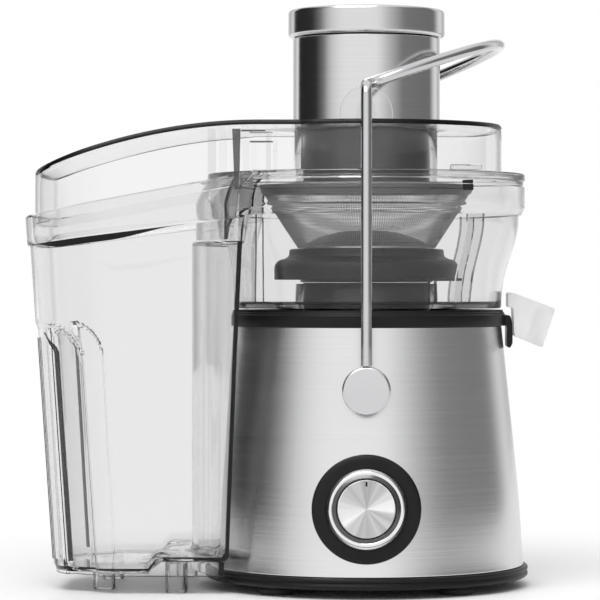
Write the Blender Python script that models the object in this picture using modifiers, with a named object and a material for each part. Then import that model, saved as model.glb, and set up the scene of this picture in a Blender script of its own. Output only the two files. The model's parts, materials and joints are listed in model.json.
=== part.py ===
"""Centrifugal juicer: motor base, juice bowl, spinning sieve, lid with feed chute, locking bail
and pulp container, each sub-part a solid of its own.

Metres, +Z up. The origin is under the middle of the whole machine, on the surface it stands on.
The front faces -Y, the spout points along +X and the pulp container stands on the -X side.
Every turned profile is given from the motor axis, which is the vertical line x = MOTOR_X, y = 0.
"""
import math

import bmesh
import bpy
from mathutils import Matrix

MM = 0.001


def mm(*points):
    """Points given in millimetres, as tuples in metres."""
    return [tuple(value * MM for value in point) for point in points]


# ------------------------------------------------------------------ driving dimensions
MOTOR_X = 42.3 * MM          # motor axis, from the middle of the whole machine
GAP = 0.3 * MM               # clearance between pieces that touch
WALL = 2.2 * MM              # moulded clear wall

STEPS = 28                   # facets round a large turned piece
SMALL_STEPS = 12             # facets round a small turned piece

FOOT_X = 50.0 * MM
FOOT_Y = 58.0 * MM
SHELL_PROFILE = mm((77.5, 148.0), (78.0, 143.0), (84.8, 77.0), (87.6, 47.0), (89.4, 19.5), (90.0, 11.8))
SHELL_THICKNESS = 1.0 * MM

LIP_BOTTOM = 197.0 * MM
LIP_HALF_WIDTH = 58.0 * MM
LIP_WAY_HALF = 67.7 * MM     # half width of the way for the lip and the lid in the container

SIEVE_RIM_RADIUS = 61.5 * MM

LID_RADIUS = 77.7 * MM
LID_TOP = 263.0 * MM
LID_BOTTOM = 235.3 * MM
LID_LEFT = -186.8 * MM       # left end of the lid's skirt, from the motor axis
LID_HALF_WIDTH = 67.2 * MM
LID_CORNER = 36.0 * MM
LID_FALL_START = -60.0 * MM  # the top falls to the left of this, from the motor axis
LID_FALL = 1.72              # fall per metre squared
CHUTE_RADIUS = 41.0 * MM
CHUTE_BORE = 37.5 * MM
CHUTE_BOTTOM = 224.0 * MM
CHUTE_TOP = 312.5 * MM

TRAY_LEFT_TOP = -189.8 * MM  # left wall of the pulp container, from the motor axis
TRAY_LEFT_FOOT = -178.3 * MM
TRAY_WIDTH_TOP = 70.0 * MM   # half widths
TRAY_WIDTH_FOOT = 61.0 * MM
TRAY_CORNER = 40.0 * MM
TRAY_HOLLOW_RADIUS = 98.0 * MM
TRAY_FLOOR = 11.0 * MM
TRAY_SHOULDER = 195.0 * MM   # height at which the two sets of sizes above hold
GRIP_RIGHT = -154.0 * MM     # the hand recesses at the left corners reach this far right,
GRIP_TOP = 150.0 * MM        # this high,
GRIP_DEPTH = 6.0 * MM        # and this deep into the wall,
GRIP_CORNER = 22.0 * MM      # with their upper corner rounded,
GRIP_RIDGE = 42.0 * MM       # and leave a ridge of this half width at the left end
RIM_SLOPE = 0.188            # the container's mouth rises towards the motor
RIM_AT_LIP = 232.4 * MM
RIM_LIP_X = -72.7 * MM
BAND_SLOPE = 0.132
BAND_FOOT = 193.7 * MM
BAND_FOOT_X = -191.0 * MM

BAIL_PIVOT_Z = 114.0 * MM
BAIL_LEG_Y = 96.0 * MM
BAIL_ROD_RADIUS = 3.1 * MM
BAIL_LOOP_X = 76.6 * MM      # half axes of the loop, seen from above
BAIL_LOOP_Y = 86.0 * MM
BAIL_LOOP_Z = 281.0 * MM
BAIL_LOOP_RISE = 0.366       # the loop rises by this much for each metre to the right
BAIL_DISC_RADIUS = 13.3 * MM
BAIL_DISC_HALF = 2.2 * MM
PIN_INNER_Y = 66.0 * MM      # inner ends of the bail's pins
INTERLOCK_Y = 63.7 * MM      # the cam on the rear pin and the plunger under it
CAM_RADIUS = 9.0 * MM
CAM_HALF = 2.0 * MM
CAM_OFFSET = 3.0 * MM        # the cam's middle lies left of the pin while the bail is closed

KNOB_Z = 49.0 * MM
KNOB_TILT = math.radians(5.0)
KNOB_FACE_Y = -87.4 * MM     # where the knob's axis meets the shell


# ------------------------------------------------------------------ scene, collections, materials
def clear_scene():
    for obj in list(bpy.data.objects):
        bpy.data.objects.remove(obj, do_unlink=True)
    for group in list(bpy.data.collections):
        bpy.data.collections.remove(group)


def new_collection(name):
    group = bpy.data.collections.new(name)
    bpy.context.scene.collection.children.link(group)
    return group


def new_material(name, colour, roughness, metallic=0.0, transmission=0.0):
    material = bpy.data.materials.new(name)
    material.use_nodes = True
    shader = material.node_tree.nodes["Principled BSDF"]
    shader.inputs["Base Color"].default_value = (*colour, 1.0)
    shader.inputs["Roughness"].default_value = roughness
    shader.inputs["Metallic"].default_value = metallic
    shader.inputs["Transmission Weight"].default_value = transmission
    return material


clear_scene()
JUICER = new_collection("centrifugal_juicer")
CUTTERS = new_collection("cutters")

BLACK = new_material("black_plastic", (0.02, 0.02, 0.022), 0.45)
GREY = new_material("dark_grey_plastic", (0.09, 0.09, 0.095), 0.5)
STEEL = new_material("brushed_steel", (0.62, 0.62, 0.63), 0.3, metallic=1.0)
CHROME = new_material("polished_chrome", (0.8, 0.8, 0.81), 0.08, metallic=1.0)
CLEAR = new_material("clear_plastic", (0.93, 0.94, 0.95), 0.05, transmission=1.0)
RUBBER = new_material("rubber", (0.03, 0.03, 0.03), 0.8)
COPPER = new_material("copper", (0.72, 0.35, 0.2), 0.35, metallic=1.0)
IRON = new_material("laminated_iron", (0.22, 0.22, 0.23), 0.5, metallic=1.0)
BOARD = new_material("circuit_board", (0.05, 0.2, 0.1), 0.5)


# ------------------------------------------------------------------ shape helpers
def add_object(name, mesh, material, cutter=False):
    obj = bpy.data.objects.new(name, mesh)
    if cutter:
        CUTTERS.objects.link(obj)
        obj.hide_render = True
        obj.display_type = "WIRE"
    else:
        JUICER.objects.link(obj)
        mesh.materials.append(material)
    return obj


def turned(name, profile, material=None, steps=STEPS, place=(MOTOR_X, 0.0, 0.0)):
    """A profile of (radius, height) turned about the vertical line at place.

    The profile runs down its outer side. It starts and ends on the axis, or closes on itself.
    """
    solid = profile[0][0] == 0.0
    count = len(profile)
    edges = [(i, (i + 1) % count) for i in range(count - 1 if solid else count)]
    mesh = bpy.data.meshes.new(name)
    mesh.from_pydata([(radius, 0.0, height) for radius, height in profile], edges, [])
    obj = add_object(name, mesh, material, cutter=material is None)
    obj.location = place
    screw = obj.modifiers.new("Turn", "SCREW")
    screw.steps = steps
    screw.render_steps = steps
    screw.use_merge_vertices = True
    screw.merge_threshold = 0.00001
    return obj


def ring(name, outer, inner, bottom, top, material, steps=STEPS, place=(MOTOR_X, 0.0, 0.0)):
    profile = [(outer, top), (outer, bottom), (inner, bottom), (inner, top)]
    return turned(name, profile, material, steps, place)


def disc(name, radius, bottom, top, material=None, steps=STEPS, place=(MOTOR_X, 0.0, 0.0)):
    profile = [(0.0, top), (radius, top), (radius, bottom), (0.0, bottom)]
    return turned(name, profile, material, steps, place)


def box(name, low, high, material=None, bevel=0.0):
    """A box between two corners given from the motor axis."""
    mesh = bpy.data.meshes.new(name)
    cage = bmesh.new()
    bmesh.ops.create_cube(cage, size=1.0)
    size = [high[i] - low[i] for i in range(3)]
    bmesh.ops.scale(cage, vec=size, verts=cage.verts)
    cage.to_mesh(mesh)
    cage.free()
    obj = add_object(name, mesh, material, cutter=material is None)
    obj.location = (MOTOR_X + (low[0] + high[0]) / 2, (low[1] + high[1]) / 2, (low[2] + high[2]) / 2)
    if bevel:
        rounding = obj.modifiers.new("Edges", "BEVEL")
        rounding.width = bevel
        rounding.segments = 2
    return obj


def swing_out(obj, reach, degrees):
    """Moves a box that stands on the motor axis out along +X, and turns it about that axis."""
    obj.data.transform(Matrix.Translation((reach, 0.0, 0.0)))
    obj.rotation_euler.z = math.radians(degrees)


def prism(name, outline, half_width, material=None):
    """An outline of (x, z) points from the motor axis, given thickness along Y about y = 0."""
    mesh = bpy.data.meshes.new(name)
    cage = bmesh.new()
    corners = [cage.verts.new((x, -half_width, z)) for x, z in outline]
    face = cage.faces.new(corners)
    grown = bmesh.ops.extrude_face_region(cage, geom=[face])
    moved = [item for item in grown["geom"] if isinstance(item, bmesh.types.BMVert)]
    bmesh.ops.translate(cage, verts=moved, vec=(0.0, 2 * half_width, 0.0))
    bmesh.ops.recalc_face_normals(cage, faces=cage.faces)
    cage.to_mesh(mesh)
    cage.free()
    obj = add_object(name, mesh, material, cutter=material is None)
    obj.location.x = MOTOR_X
    return obj


def combine(obj, other, operation):
    """A Boolean modifier. The other object goes to the cutters, whatever it was."""
    boolean = obj.modifiers.new(operation.title() + " " + other.name, "BOOLEAN")
    boolean.operation = operation
    boolean.object = other
    boolean.solver = "EXACT"
    return obj


def cut(obj, *cutters):
    for cutter in cutters:
        combine(obj, cutter, "DIFFERENCE")
    return obj


def join(obj, *others):
    for other in others:
        combine(obj, other, "UNION")
    return obj


def keep_within(obj, other):
    return combine(obj, other, "INTERSECT")


def loft(name, lower, upper, material=None):
    """A closed solid between two outlines of (x, y, z) points that have the same count."""
    mesh = bpy.data.meshes.new(name)
    cage = bmesh.new()
    feet = [cage.verts.new(point) for point in lower]
    tops = [cage.verts.new(point) for point in upper]
    for i in range(len(feet)):
        j = (i + 1) % len(feet)
        cage.faces.new((feet[i], feet[j], tops[j], tops[i]))
    cage.faces.new(feet)
    cage.faces.new(tops)
    bmesh.ops.triangulate(cage, faces=cage.faces)
    bmesh.ops.recalc_face_normals(cage, faces=cage.faces)
    cage.to_mesh(mesh)
    cage.free()
    obj = add_object(name, mesh, material, cutter=material is None)
    obj.location.x = MOTOR_X
    return obj


def rod(name, points, radius, material, resolution=3):
    """A round rod along points from the motor axis, as a curve with filled caps."""
    curve = bpy.data.curves.new(name, "CURVE")
    curve.dimensions = "3D"
    curve.bevel_depth = radius
    curve.bevel_resolution = resolution
    curve.use_fill_caps = True
    spline = curve.splines.new("POLY")
    spline.points.add(len(points) - 1)
    for spot, point in zip(spline.points, points):
        spot.co = (*point, 1.0)
    obj = bpy.data.objects.new(name, curve)
    curve.materials.append(material)
    JUICER.objects.link(obj)
    obj.location.x = MOTOR_X
    return obj


def axis_empty(name, place, turn=(0.0, 0.0, 0.0)):
    """An empty on a joint's axis, which its moving pieces hang from."""
    empty = bpy.data.objects.new(name, None)
    JUICER.objects.link(empty)
    empty.location = place
    empty.rotation_euler = turn
    return empty


def hang(empty, *pieces):
    """Parent pieces to an empty. Their own places stay as they are in the world."""
    bpy.context.view_layer.update()
    for piece in pieces:
        piece.parent = empty
        piece.matrix_parent_inverse = empty.matrix_world.inverted()


def hang_local(empty, *pieces):
    """Parent pieces that were drawn in the empty's own frame."""
    for piece in pieces:
        piece.parent = empty


def arc(centre_x, centre_y, radius, start, end, count):
    """Points on an arc, from one angle to another in degrees, both ends included."""
    angles = [math.radians(start + (end - start) * i / count) for i in range(count + 1)]
    return [(centre_x + radius * math.cos(a), centre_y + radius * math.sin(a)) for a in angles]


# ------------------------------------------------------------------ motor base
def shell_radius(height):
    """Outer radius of the steel shell at a height."""
    for (top_r, top_z), (low_r, low_z) in zip(SHELL_PROFILE, SHELL_PROFILE[1:]):
        if low_z <= height <= top_z:
            share = (height - low_z) / (top_z - low_z)
            return low_r + share * (top_r - low_r)
    raise ValueError("height outside the shell")


def build_base_pan():
    profile = mm((0, 8), (85.5, 8), (85.5, 18), (88, 18), (88, 11.5), (91.8, 11.5), (92.6, 10.7),
                 (92.6, 6.2), (91.4, 5), (0, 5))
    pan = turned("base_pan", profile, BLACK)
    for index in range(6):
        slot = box("vent_cutter_%d" % index, *mm((-16, -3, 0), (16, 3, 20)))
        swing_out(slot, 46 * MM, 60 * index + 30)
        cut(pan, slot)


def build_feet():
    for index, (side_x, side_y) in enumerate(((-1, -1), (1, -1), (1, 1), (-1, 1)), 1):
        place = (MOTOR_X + side_x * FOOT_X, side_y * FOOT_Y, 0.0)
        profile = mm((0, 4.7), (10, 4.7), (10, 0.8), (9.2, 0), (0, 0))
        turned("rubber_foot_%d" % index, profile, RUBBER, SMALL_STEPS, place)


def build_foot_screws():
    for index, (side_x, side_y) in enumerate(((-1, -1), (1, -1), (1, 1), (-1, 1)), 1):
        place = (MOTOR_X + side_x * FOOT_X, side_y * FOOT_Y, 0.0)
        profile = mm((0, 11), (3, 11), (3.6, 10.2), (3.6, 8.3), (0, 8.3))
        turned("foot_screw_%d" % index, profile, STEEL, SMALL_STEPS, place)


def build_steel_shell():
    inner = [(radius - SHELL_THICKNESS, height) for radius, height in reversed(SHELL_PROFILE)]
    shell = turned("steel_shell", SHELL_PROFILE + inner, STEEL, STEPS)
    knob_hole = disc("knob_hole_cutter", 7 * MM, -20 * MM, 20 * MM, None, SMALL_STEPS)
    knob_hole.location = (MOTOR_X, KNOB_FACE_Y, KNOB_Z)
    knob_hole.rotation_euler.x = math.radians(90)
    cut(shell, knob_hole)
    for side, label in ((-1, "front"), (1, "rear")):
        hole = disc("bail_hole_cutter_" + label, 7 * MM, -20 * MM, 20 * MM, None, SMALL_STEPS)
        hole.location = (MOTOR_X, side * shell_radius(BAIL_PIVOT_Z), BAIL_PIVOT_Z)
        hole.rotation_euler.x = math.radians(90)
        cut(shell, hole)
    gland_hole = disc("gland_hole_cutter", 6 * MM, -20 * MM, 20 * MM, None, SMALL_STEPS)
    gland_hole.location = (MOTOR_X, shell_radius(28 * MM), 28 * MM)
    gland_hole.rotation_euler.x = math.radians(90)
    cut(shell, gland_hole)


def build_top_deck():
    """Black collar and deck that the bowl stands on, with a raised hub round the drive."""
    profile = mm((36.5, 173), (36.5, 155.5), (76.5, 155.5), (76.5, 157.5), (79, 157.5), (79, 155.4),
                 (80, 154.6), (80, 148.3), (75, 148.3), (75, 144), (73.4, 144), (73.4, 153), (34, 153),
                 (34, 170.5), (9, 170.5), (9, 173))
    deck = turned("top_deck", profile, BLACK)
    hook = prism("spout_hook_part", mm((77, 149), (77, 154.4), (82.4, 154.4), (83.4, 150), (83.4, 138),
                                       (81.8, 135.5), (80.4, 136.5), (80.4, 149)), 13 * MM)
    join(deck, hook)


def build_motor():
    """Universal motor: stator, brackets, brushes; its rotor is in build_spinner."""
    ring("stator_core", 37 * MM, 22 * MM, 62 * MM, 102 * MM, IRON, 24)
    ring("upper_field_coil", 34 * MM, 23 * MM, 102.3 * MM, 111 * MM, COPPER, 24)
    ring("lower_field_coil", 34 * MM, 23 * MM, 53 * MM, 61.7 * MM, COPPER, 24)
    upper = mm((12, 136), (40, 122), (40, 112), (38, 112), (38, 119.2), (12.5, 131), (11, 125), (8.4, 125),
               (8.4, 132.5), (6.6, 132.5), (6.6, 136))
    turned("upper_motor_bracket", upper, GREY, 24)
    lower = mm((40, 52.5), (40, 44), (12, 34), (6.6, 34), (6.6, 37), (8.4, 37), (8.4, 43), (11, 43),
               (12.5, 38.5), (38, 46.8), (38, 52.5))
    turned("lower_motor_bracket", lower, GREY, 24)
    ring("upper_bearing", 8.1 * MM, 4.3 * MM, 125.3 * MM, 132.2 * MM, STEEL, SMALL_STEPS)
    ring("lower_bearing", 8.1 * MM, 4.3 * MM, 37.3 * MM, 42.7 * MM, STEEL, SMALL_STEPS)
    for side, label in ((-1, "left"), (1, "right")):
        low = (min(side * 13.6 * MM, side * 30 * MM), -3.5 * MM, 113.5 * MM)
        high = (max(side * 13.6 * MM, side * 30 * MM), 3.5 * MM, 119 * MM)
        box("carbon_brush_" + label, low, high, RUBBER)


def build_motor_mounts():
    for index, angle in enumerate((45, 135, 225, 315), 1):
        turn = math.radians(angle)
        place = (MOTOR_X + 34 * MM * math.cos(turn), 34 * MM * math.sin(turn), 0.0)
        ring("motor_mount_%d" % index, 7 * MM, 2.5 * MM, 8.3 * MM, 38.8 * MM, RUBBER, SMALL_STEPS, place)


def build_electrics():
    box("rotary_switch", *mm((-14, -70, 36), (14, -52, 62)), GREY, 1 * MM)
    box("control_board", *mm((44, -24, 30), (46, 24, 84)), BOARD)
    switch = box("interlock_switch", *mm((-14, 58.7, 80), (14, 68.7, 96)), GREY, 1 * MM)
    plunger_way = disc("plunger_way_cutter", 2.4 * MM, 91 * MM, 100 * MM, None, SMALL_STEPS)
    plunger_way.location.y = INTERLOCK_Y
    cut(switch, plunger_way)
    plunger_top = BAIL_PIVOT_Z - CAM_RADIUS - GAP
    plunger = disc("interlock_plunger", 2 * MM, 91.5 * MM, plunger_top, STEEL, SMALL_STEPS)
    plunger.location.y = INTERLOCK_Y
    gland = turned("cord_gland", mm((0, 12.3), (4.6, 12.3), (5.6, 3), (9, 3), (9, 0.3), (5.6, 0.3), (5.6, -6),
                                    (0, -6)), BLACK, SMALL_STEPS)
    gland.location = (MOTOR_X, shell_radius(28 * MM) + 0.4 * MM, 28 * MM)
    gland.rotation_euler.x = math.radians(-90)
    lead_way = disc("lead_way_cutter", 3.3 * MM, -10 * MM, 20 * MM, None, SMALL_STEPS)
    lead_way.location = gland.location
    lead_way.rotation_euler.x = math.radians(-90)
    cut(gland, lead_way)


def build_bail_bosses():
    """Fixed bushes in the shell that the bail's pins turn in."""
    for side, label in ((-1, "front"), (1, "rear")):
        boss = ring("bail_bush_" + label, 6.6 * MM, 4.3 * MM, -8 * MM, 3 * MM, BLACK, SMALL_STEPS)
        boss.location = (MOTOR_X, side * shell_radius(BAIL_PIVOT_Z), BAIL_PIVOT_Z)
        boss.rotation_euler.x = math.radians(-90 * side)


# ------------------------------------------------------------------ juice bowl and spout
def build_bowl():
    profile = mm((91, 234.4), (91, 212.5), (87.5, 210), (87.5, 204), (82, 186), (77.6, 165), (77.4, 158.3),
                 (37.8, 158.3), (37.8, 172.3), (40.6, 172.3), (41.2, 160.8), (75, 160.8), (75.4, 165.4),
                 (79.8, 186.6), (85.2, 204.6), (85.2, 211.5), (88.6, 214), (88.6, 232.5), (74, 232.5),
                 (74, 235), (90.4, 235))
    bowl = turned("juice_bowl", profile, CLEAR)
    lip_profile = mm((90, 234.7), (95.5, 234), (98, 231), (98, 197), (95.8, 197), (95.8, 229.5), (94, 231.5),
                     (90, 232.2))
    lip = turned("pulp_lip_part", lip_profile)
    sector_low = (-110 * MM, -LIP_HALF_WIDTH, 190 * MM)
    sector_high = (-40 * MM, LIP_HALF_WIDTH, 240 * MM)
    sector = box("lip_sector_part", sector_low, sector_high)
    keep_within(lip, sector)
    stub = box("spout_stub_part", *mm((75.8, -13, 159), (80.4, 13, 168.5)))
    outlet = box("outlet_cutter", *mm((70, -10, 161), (86, 10, 166)))
    join(bowl, lip, stub)
    cut(bowl, outlet)


def build_spout():
    outline = mm((80.8, 167.5), (84, 167), (107.6, 158), (100.3, 136), (84.2, 142.5), (83.7, 158.8),
                 (80.8, 158.8))
    spout = prism("juice_spout", outline, 15 * MM, CLEAR)
    hollow = mm((79, 165.6), (83.6, 165.2), (110, 154.8), (104, 136.2), (86.4, 143.9), (85.9, 160.6),
                (79, 160.6))
    cut(spout, prism("spout_hollow_cutter", hollow, 12.8 * MM))


# ------------------------------------------------------------------ pieces that spin
def build_spinner():
    shaft = disc("motor_shaft", 4 * MM, 34.6 * MM, 180 * MM, STEEL, SMALL_STEPS)
    rotor = ring("rotor_core", 21 * MM, 4.3 * MM, 62 * MM, 102 * MM, IRON, 24)
    windings = ring("rotor_windings", 18 * MM, 4.3 * MM, 102.3 * MM, 110 * MM, COPPER, 24)
    commutator = ring("commutator", 13 * MM, 4.3 * MM, 112.4 * MM, 121 * MM, COPPER, 24)
    coupling_profile = mm((4.3, 184), (13.5, 184), (13.5, 177), (15, 174), (4.3, 174))
    coupling = turned("drive_coupling", coupling_profile, GREY, SMALL_STEPS)
    fan = ring("fan_hub", 8 * MM, 4.3 * MM, 47 * MM, 52.6 * MM, GREY, SMALL_STEPS)
    for index in range(7):
        blade = box("fan_blade_part_%d" % index, *mm((-13, -0.8, 47.5), (13, 0.8, 52)))
        swing_out(blade, 19 * MM, index * 360 / 7)
        join(fan, blade)
    hub_profile = mm((0, 192.5), (43.4, 192.5), (44.5, 191.4), (44.5, 188), (51, 187.5), (53, 185.5),
                     (53, 174.6), (50.4, 174.6), (50.4, 184.6), (18, 184.6), (18, 174.6), (15.6, 174.6),
                     (15.6, 185), (0, 185))
    hub = turned("sieve_hub", hub_profile, BLACK)
    mesh_profile = mm((60.6, 224.6), (39.6, 192.8), (38.6, 192.8), (38.6, 193.6), (59.6, 225))
    mesh = turned("sieve_mesh", mesh_profile, STEEL)
    rim = ring("sieve_rim", SIEVE_RIM_RADIUS, 58.4 * MM, 225.3 * MM, 229 * MM, GREY)
    grater_profile = mm((5, 194.4), (38.2, 194.4), (38.2, 192.8), (5, 192.8))
    grater = turned("grater_disc", grater_profile, STEEL)
    dome_profile = mm((0, 203.5), (9, 203), (18, 201.7), (27, 199), (33, 196.4), (35, 194.7), (0, 194.7))
    dome = turned("sieve_dome", dome_profile, GREY)
    spin_axis = axis_empty("spin_axis", (MOTOR_X, 0.0, 0.0))
    hang(spin_axis, shaft, rotor, windings, commutator, coupling, fan, hub, mesh, rim, grater, dome)


# ------------------------------------------------------------------ lid, feed chute and pusher
def lid_outline():
    """Half of the lid's plan, from the right end to the left, as (x, half width)."""
    join_angle = math.degrees(math.pi - math.asin(LID_HALF_WIDTH / LID_RADIUS))
    right = arc(0.0, 0.0, LID_RADIUS, 6.0, join_angle, 12)
    side = [(x * MM, LID_HALF_WIDTH) for x in (-64, -68, -100, -128)]
    corner = arc(LID_LEFT + LID_CORNER, LID_HALF_WIDTH - LID_CORNER, LID_CORNER, 90, 180, 6)
    return right + side + corner


def lid_top(x):
    return LID_TOP - LID_FALL * min(0.0, x - LID_FALL_START) ** 2


def mouth_height(x):
    """Height of the pulp container's sloping mouth."""
    return RIM_AT_LIP + RIM_SLOPE * (x - RIM_LIP_X)


def lid_bottom(x):
    """The skirt stands on the bowl, and hangs a little way inside the container's mouth."""
    if x > -66 * MM:
        return LID_BOTTOM
    return mouth_height(x) - 6 * MM


def build_lid():
    mesh = bpy.data.meshes.new("lid")
    cage = bmesh.new()
    stations = []
    for x, half in lid_outline():
        corners = ((-half, lid_bottom(x)), (-half, lid_top(x)), (half, lid_top(x)), (half, lid_bottom(x)))
        stations.append([cage.verts.new((x, y, z)) for y, z in corners])
    for near, far in zip(stations, stations[1:]):
        for i in range(3):
            cage.faces.new((near[i], far[i], far[i + 1], near[i + 1]))
    cage.faces.new(stations[0])
    cage.faces.new(stations[-1])
    bmesh.ops.recalc_face_normals(cage, faces=cage.faces)
    cage.to_mesh(mesh)
    cage.free()
    lid = add_object("lid", mesh, CLEAR)
    lid.location.x = MOTOR_X
    thickness = lid.modifiers.new("Wall", "SOLIDIFY")
    thickness.thickness = WALL
    thickness.offset = -1.0
    thickness.use_even_offset = True
    chute = disc("chute_part", CHUTE_RADIUS, CHUTE_BOTTOM, CHUTE_TOP)
    bore = disc("chute_bore_cutter", CHUTE_BORE, CHUTE_BOTTOM - 5 * MM, CHUTE_TOP + 5 * MM)
    tab_sides = [(-14.5 * MM, LID_TOP - 1.5 * MM)] + [(x, LID_TOP + 3.5 * MM + z) for x, z in
                                                    arc(0.0, 0.0, 14.5 * MM, 180, 0, 8)]
    tabs = []
    for side, label in ((-1, "front"), (1, "rear")):
        tab = prism("bail_tab_part_" + label, tab_sides + [(14.5 * MM, LID_TOP - 1.5 * MM)], 1.3 * MM)
        tab.location.y = side * 74.5 * MM
        tabs.append(tab)
    lug = box("interlock_lug_part", *mm((46, -62.5, 235.6), (62, -52, 240)))
    join(lid, chute, *tabs, lug)
    cut(lid, bore)
    return lid


def build_feed():
    lid = build_lid()
    sleeve = ring("chute_sleeve", 42.2 * MM, CHUTE_RADIUS + GAP, LID_TOP + GAP, 313 * MM, STEEL)
    lift_axis = axis_empty("lid_axis", (MOTOR_X, 0.0, LID_BOTTOM))
    hang(lift_axis, lid, sleeve)
    body_profile = mm((0, 226.5), (34, 226.5), (34, 315), (36.4, 315), (36.4, 224), (0, 224))
    body = turned("pusher_body", body_profile, GREY)
    cap_profile = mm((0, 329), (43.6, 329), (44.9, 327.7), (44.9, 313.4), (38, 313.4), (38, 315.3), (0, 315.3))
    cap = turned("pusher_cap", cap_profile, STEEL)
    push_axis = axis_empty("pusher_axis", (MOTOR_X, 0.0, CHUTE_TOP))
    hang(push_axis, body, cap)


# ------------------------------------------------------------------ pulp container
def tray_size(height):
    """Left end and half width of the container's outside at a height."""
    share = (height - TRAY_FLOOR) / (TRAY_SHOULDER - TRAY_FLOOR)
    left = TRAY_LEFT_FOOT + share * (TRAY_LEFT_TOP - TRAY_LEFT_FOOT)
    half = TRAY_WIDTH_FOOT + share * (TRAY_WIDTH_TOP - TRAY_WIDTH_FOOT)
    return left, half


def tray_outline(height, inset):
    """The container's plan at a height: hollow side round the base, then the outer walls."""
    left, half = tray_size(height)
    left += inset
    half -= inset
    corner = TRAY_CORNER - inset
    radius = TRAY_HOLLOW_RADIUS + inset
    turn = math.degrees(math.asin(half / radius))
    points = arc(0.0, 0.0, radius, 180 + turn, 180 - turn, 10)
    points += arc(left + corner, half - corner, corner, 90, 180, 5)
    points += arc(left + corner, corner - half, corner, 180, 270, 5)
    return [(x, y, height) for x, y in points]


def tray_loft(name, bottom, top, inset, material=None):
    return loft(name, tray_outline(bottom, inset), tray_outline(top, inset), material)


def slope_cutter(name, height_at, low_x, high_x, top):
    """Everything above a sloping line, as a cutter."""
    outline = [(low_x, height_at(low_x)), (high_x, height_at(high_x)), (high_x, top), (low_x, top)]
    return prism(name, outline, 120 * MM)


def grip_cutter(name, inset, margin):
    """The pair of hand recesses in a tub wall of that inset, grown by a margin."""
    layer = tray_loft(name, 0.0, 230 * MM, inset - 3 * MM)
    core = tray_loft(name + "_core", -5 * MM, 235 * MM, inset + GRIP_DEPTH)
    right, top = GRIP_RIGHT + margin, GRIP_TOP + margin
    reach = [(-230 * MM, -10 * MM), (right, -10 * MM)]
    reach += arc(right - GRIP_CORNER, top - GRIP_CORNER, GRIP_CORNER, 0, 90, 5)
    reach += [(-230 * MM, top)]
    keep_within(layer, prism(name + "_reach", reach, 90 * MM))
    ridge_half = GRIP_RIDGE - margin
    ridge = box(name + "_ridge", (-230 * MM, -ridge_half, -20 * MM), (-100 * MM, ridge_half, 200 * MM))
    return cut(layer, core, ridge)


def band_height(x):
    return BAND_FOOT + BAND_SLOPE * (x - BAND_FOOT_X)


def build_container():
    tray = tray_loft("pulp_container", TRAY_FLOOR, 240 * MM, 0.0, CLEAR)
    band = tray_loft("rim_band_part", 180 * MM, 243 * MM, -1.6 * MM)
    far_left, far_right, low = -230 * MM, -40 * MM, 150 * MM
    below = [(far_left, band_height(far_left)), (far_left, low), (far_right, low),
             (far_right, band_height(far_right))]
    cut(band, prism("below_band_cutter", below, 120 * MM))
    step = box("floor_step_cutter", *mm((-119, -90, 0), (-40, 90, 17.5)))
    cut(tray, step, grip_cutter("grip_cutter", 0.0, 0.0))
    join(tray, band)
    hollow = tray_loft("tray_hollow_cutter", TRAY_FLOOR + WALL, 250 * MM, WALL)
    inner_step = box("inner_step_cutter", *mm((-121.2, -90, 0), (-40, 90, 19.7)))
    cut(hollow, inner_step, grip_cutter("inner_grip_cutter", WALL, WALL))
    cut(tray, hollow)
    cut(tray, slope_cutter("mouth_cutter", mouth_height, -230 * MM, -40 * MM, 270 * MM))
    lip_way = box("lip_way_cutter", (-104 * MM, -LIP_WAY_HALF, LIP_BOTTOM - 1 * MM),
                  (-40 * MM, LIP_WAY_HALF, 270 * MM))
    cut(tray, lip_way)
    feet = ((-148, 30, 13.2), (-148, -30, 13.2), (-106, 50, 19.7), (-106, -50, 19.7))
    for index, (x, y, top) in enumerate(feet):
        low, high = mm((x - 6.2, y - 5, 0), (x + 6.2, y + 5, top - 1))
        join(tray, box("tray_foot_part_%d" % index, low, high))
    hang(axis_empty("container_axis", (MOTOR_X, 0.0, 0.0)), tray)


# ------------------------------------------------------------------ locking bail
def bail_points():
    """Half of the bail, from the pivot disc up the leg and round the loop to its tip, at -Y."""
    bend = 7.0 * MM
    leg_top = BAIL_LOOP_Z - bend
    points = [(0.0, -BAIL_LEG_Y, BAIL_PIVOT_Z + BAIL_DISC_RADIUS + GAP), (0.0, -BAIL_LEG_Y, 190 * MM)]
    points += [(0.0, -BAIL_LEG_Y + bend + u, leg_top + v) for u, v in arc(0.0, 0.0, bend, 180, 100, 4)]
    for degrees in range(4, 91, 7):
        angle = math.radians(degrees)
        x = BAIL_LOOP_X * math.sin(angle)
        points.append((x, -BAIL_LOOP_Y * math.cos(angle), BAIL_LOOP_Z + BAIL_LOOP_RISE * x))
    return points


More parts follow.
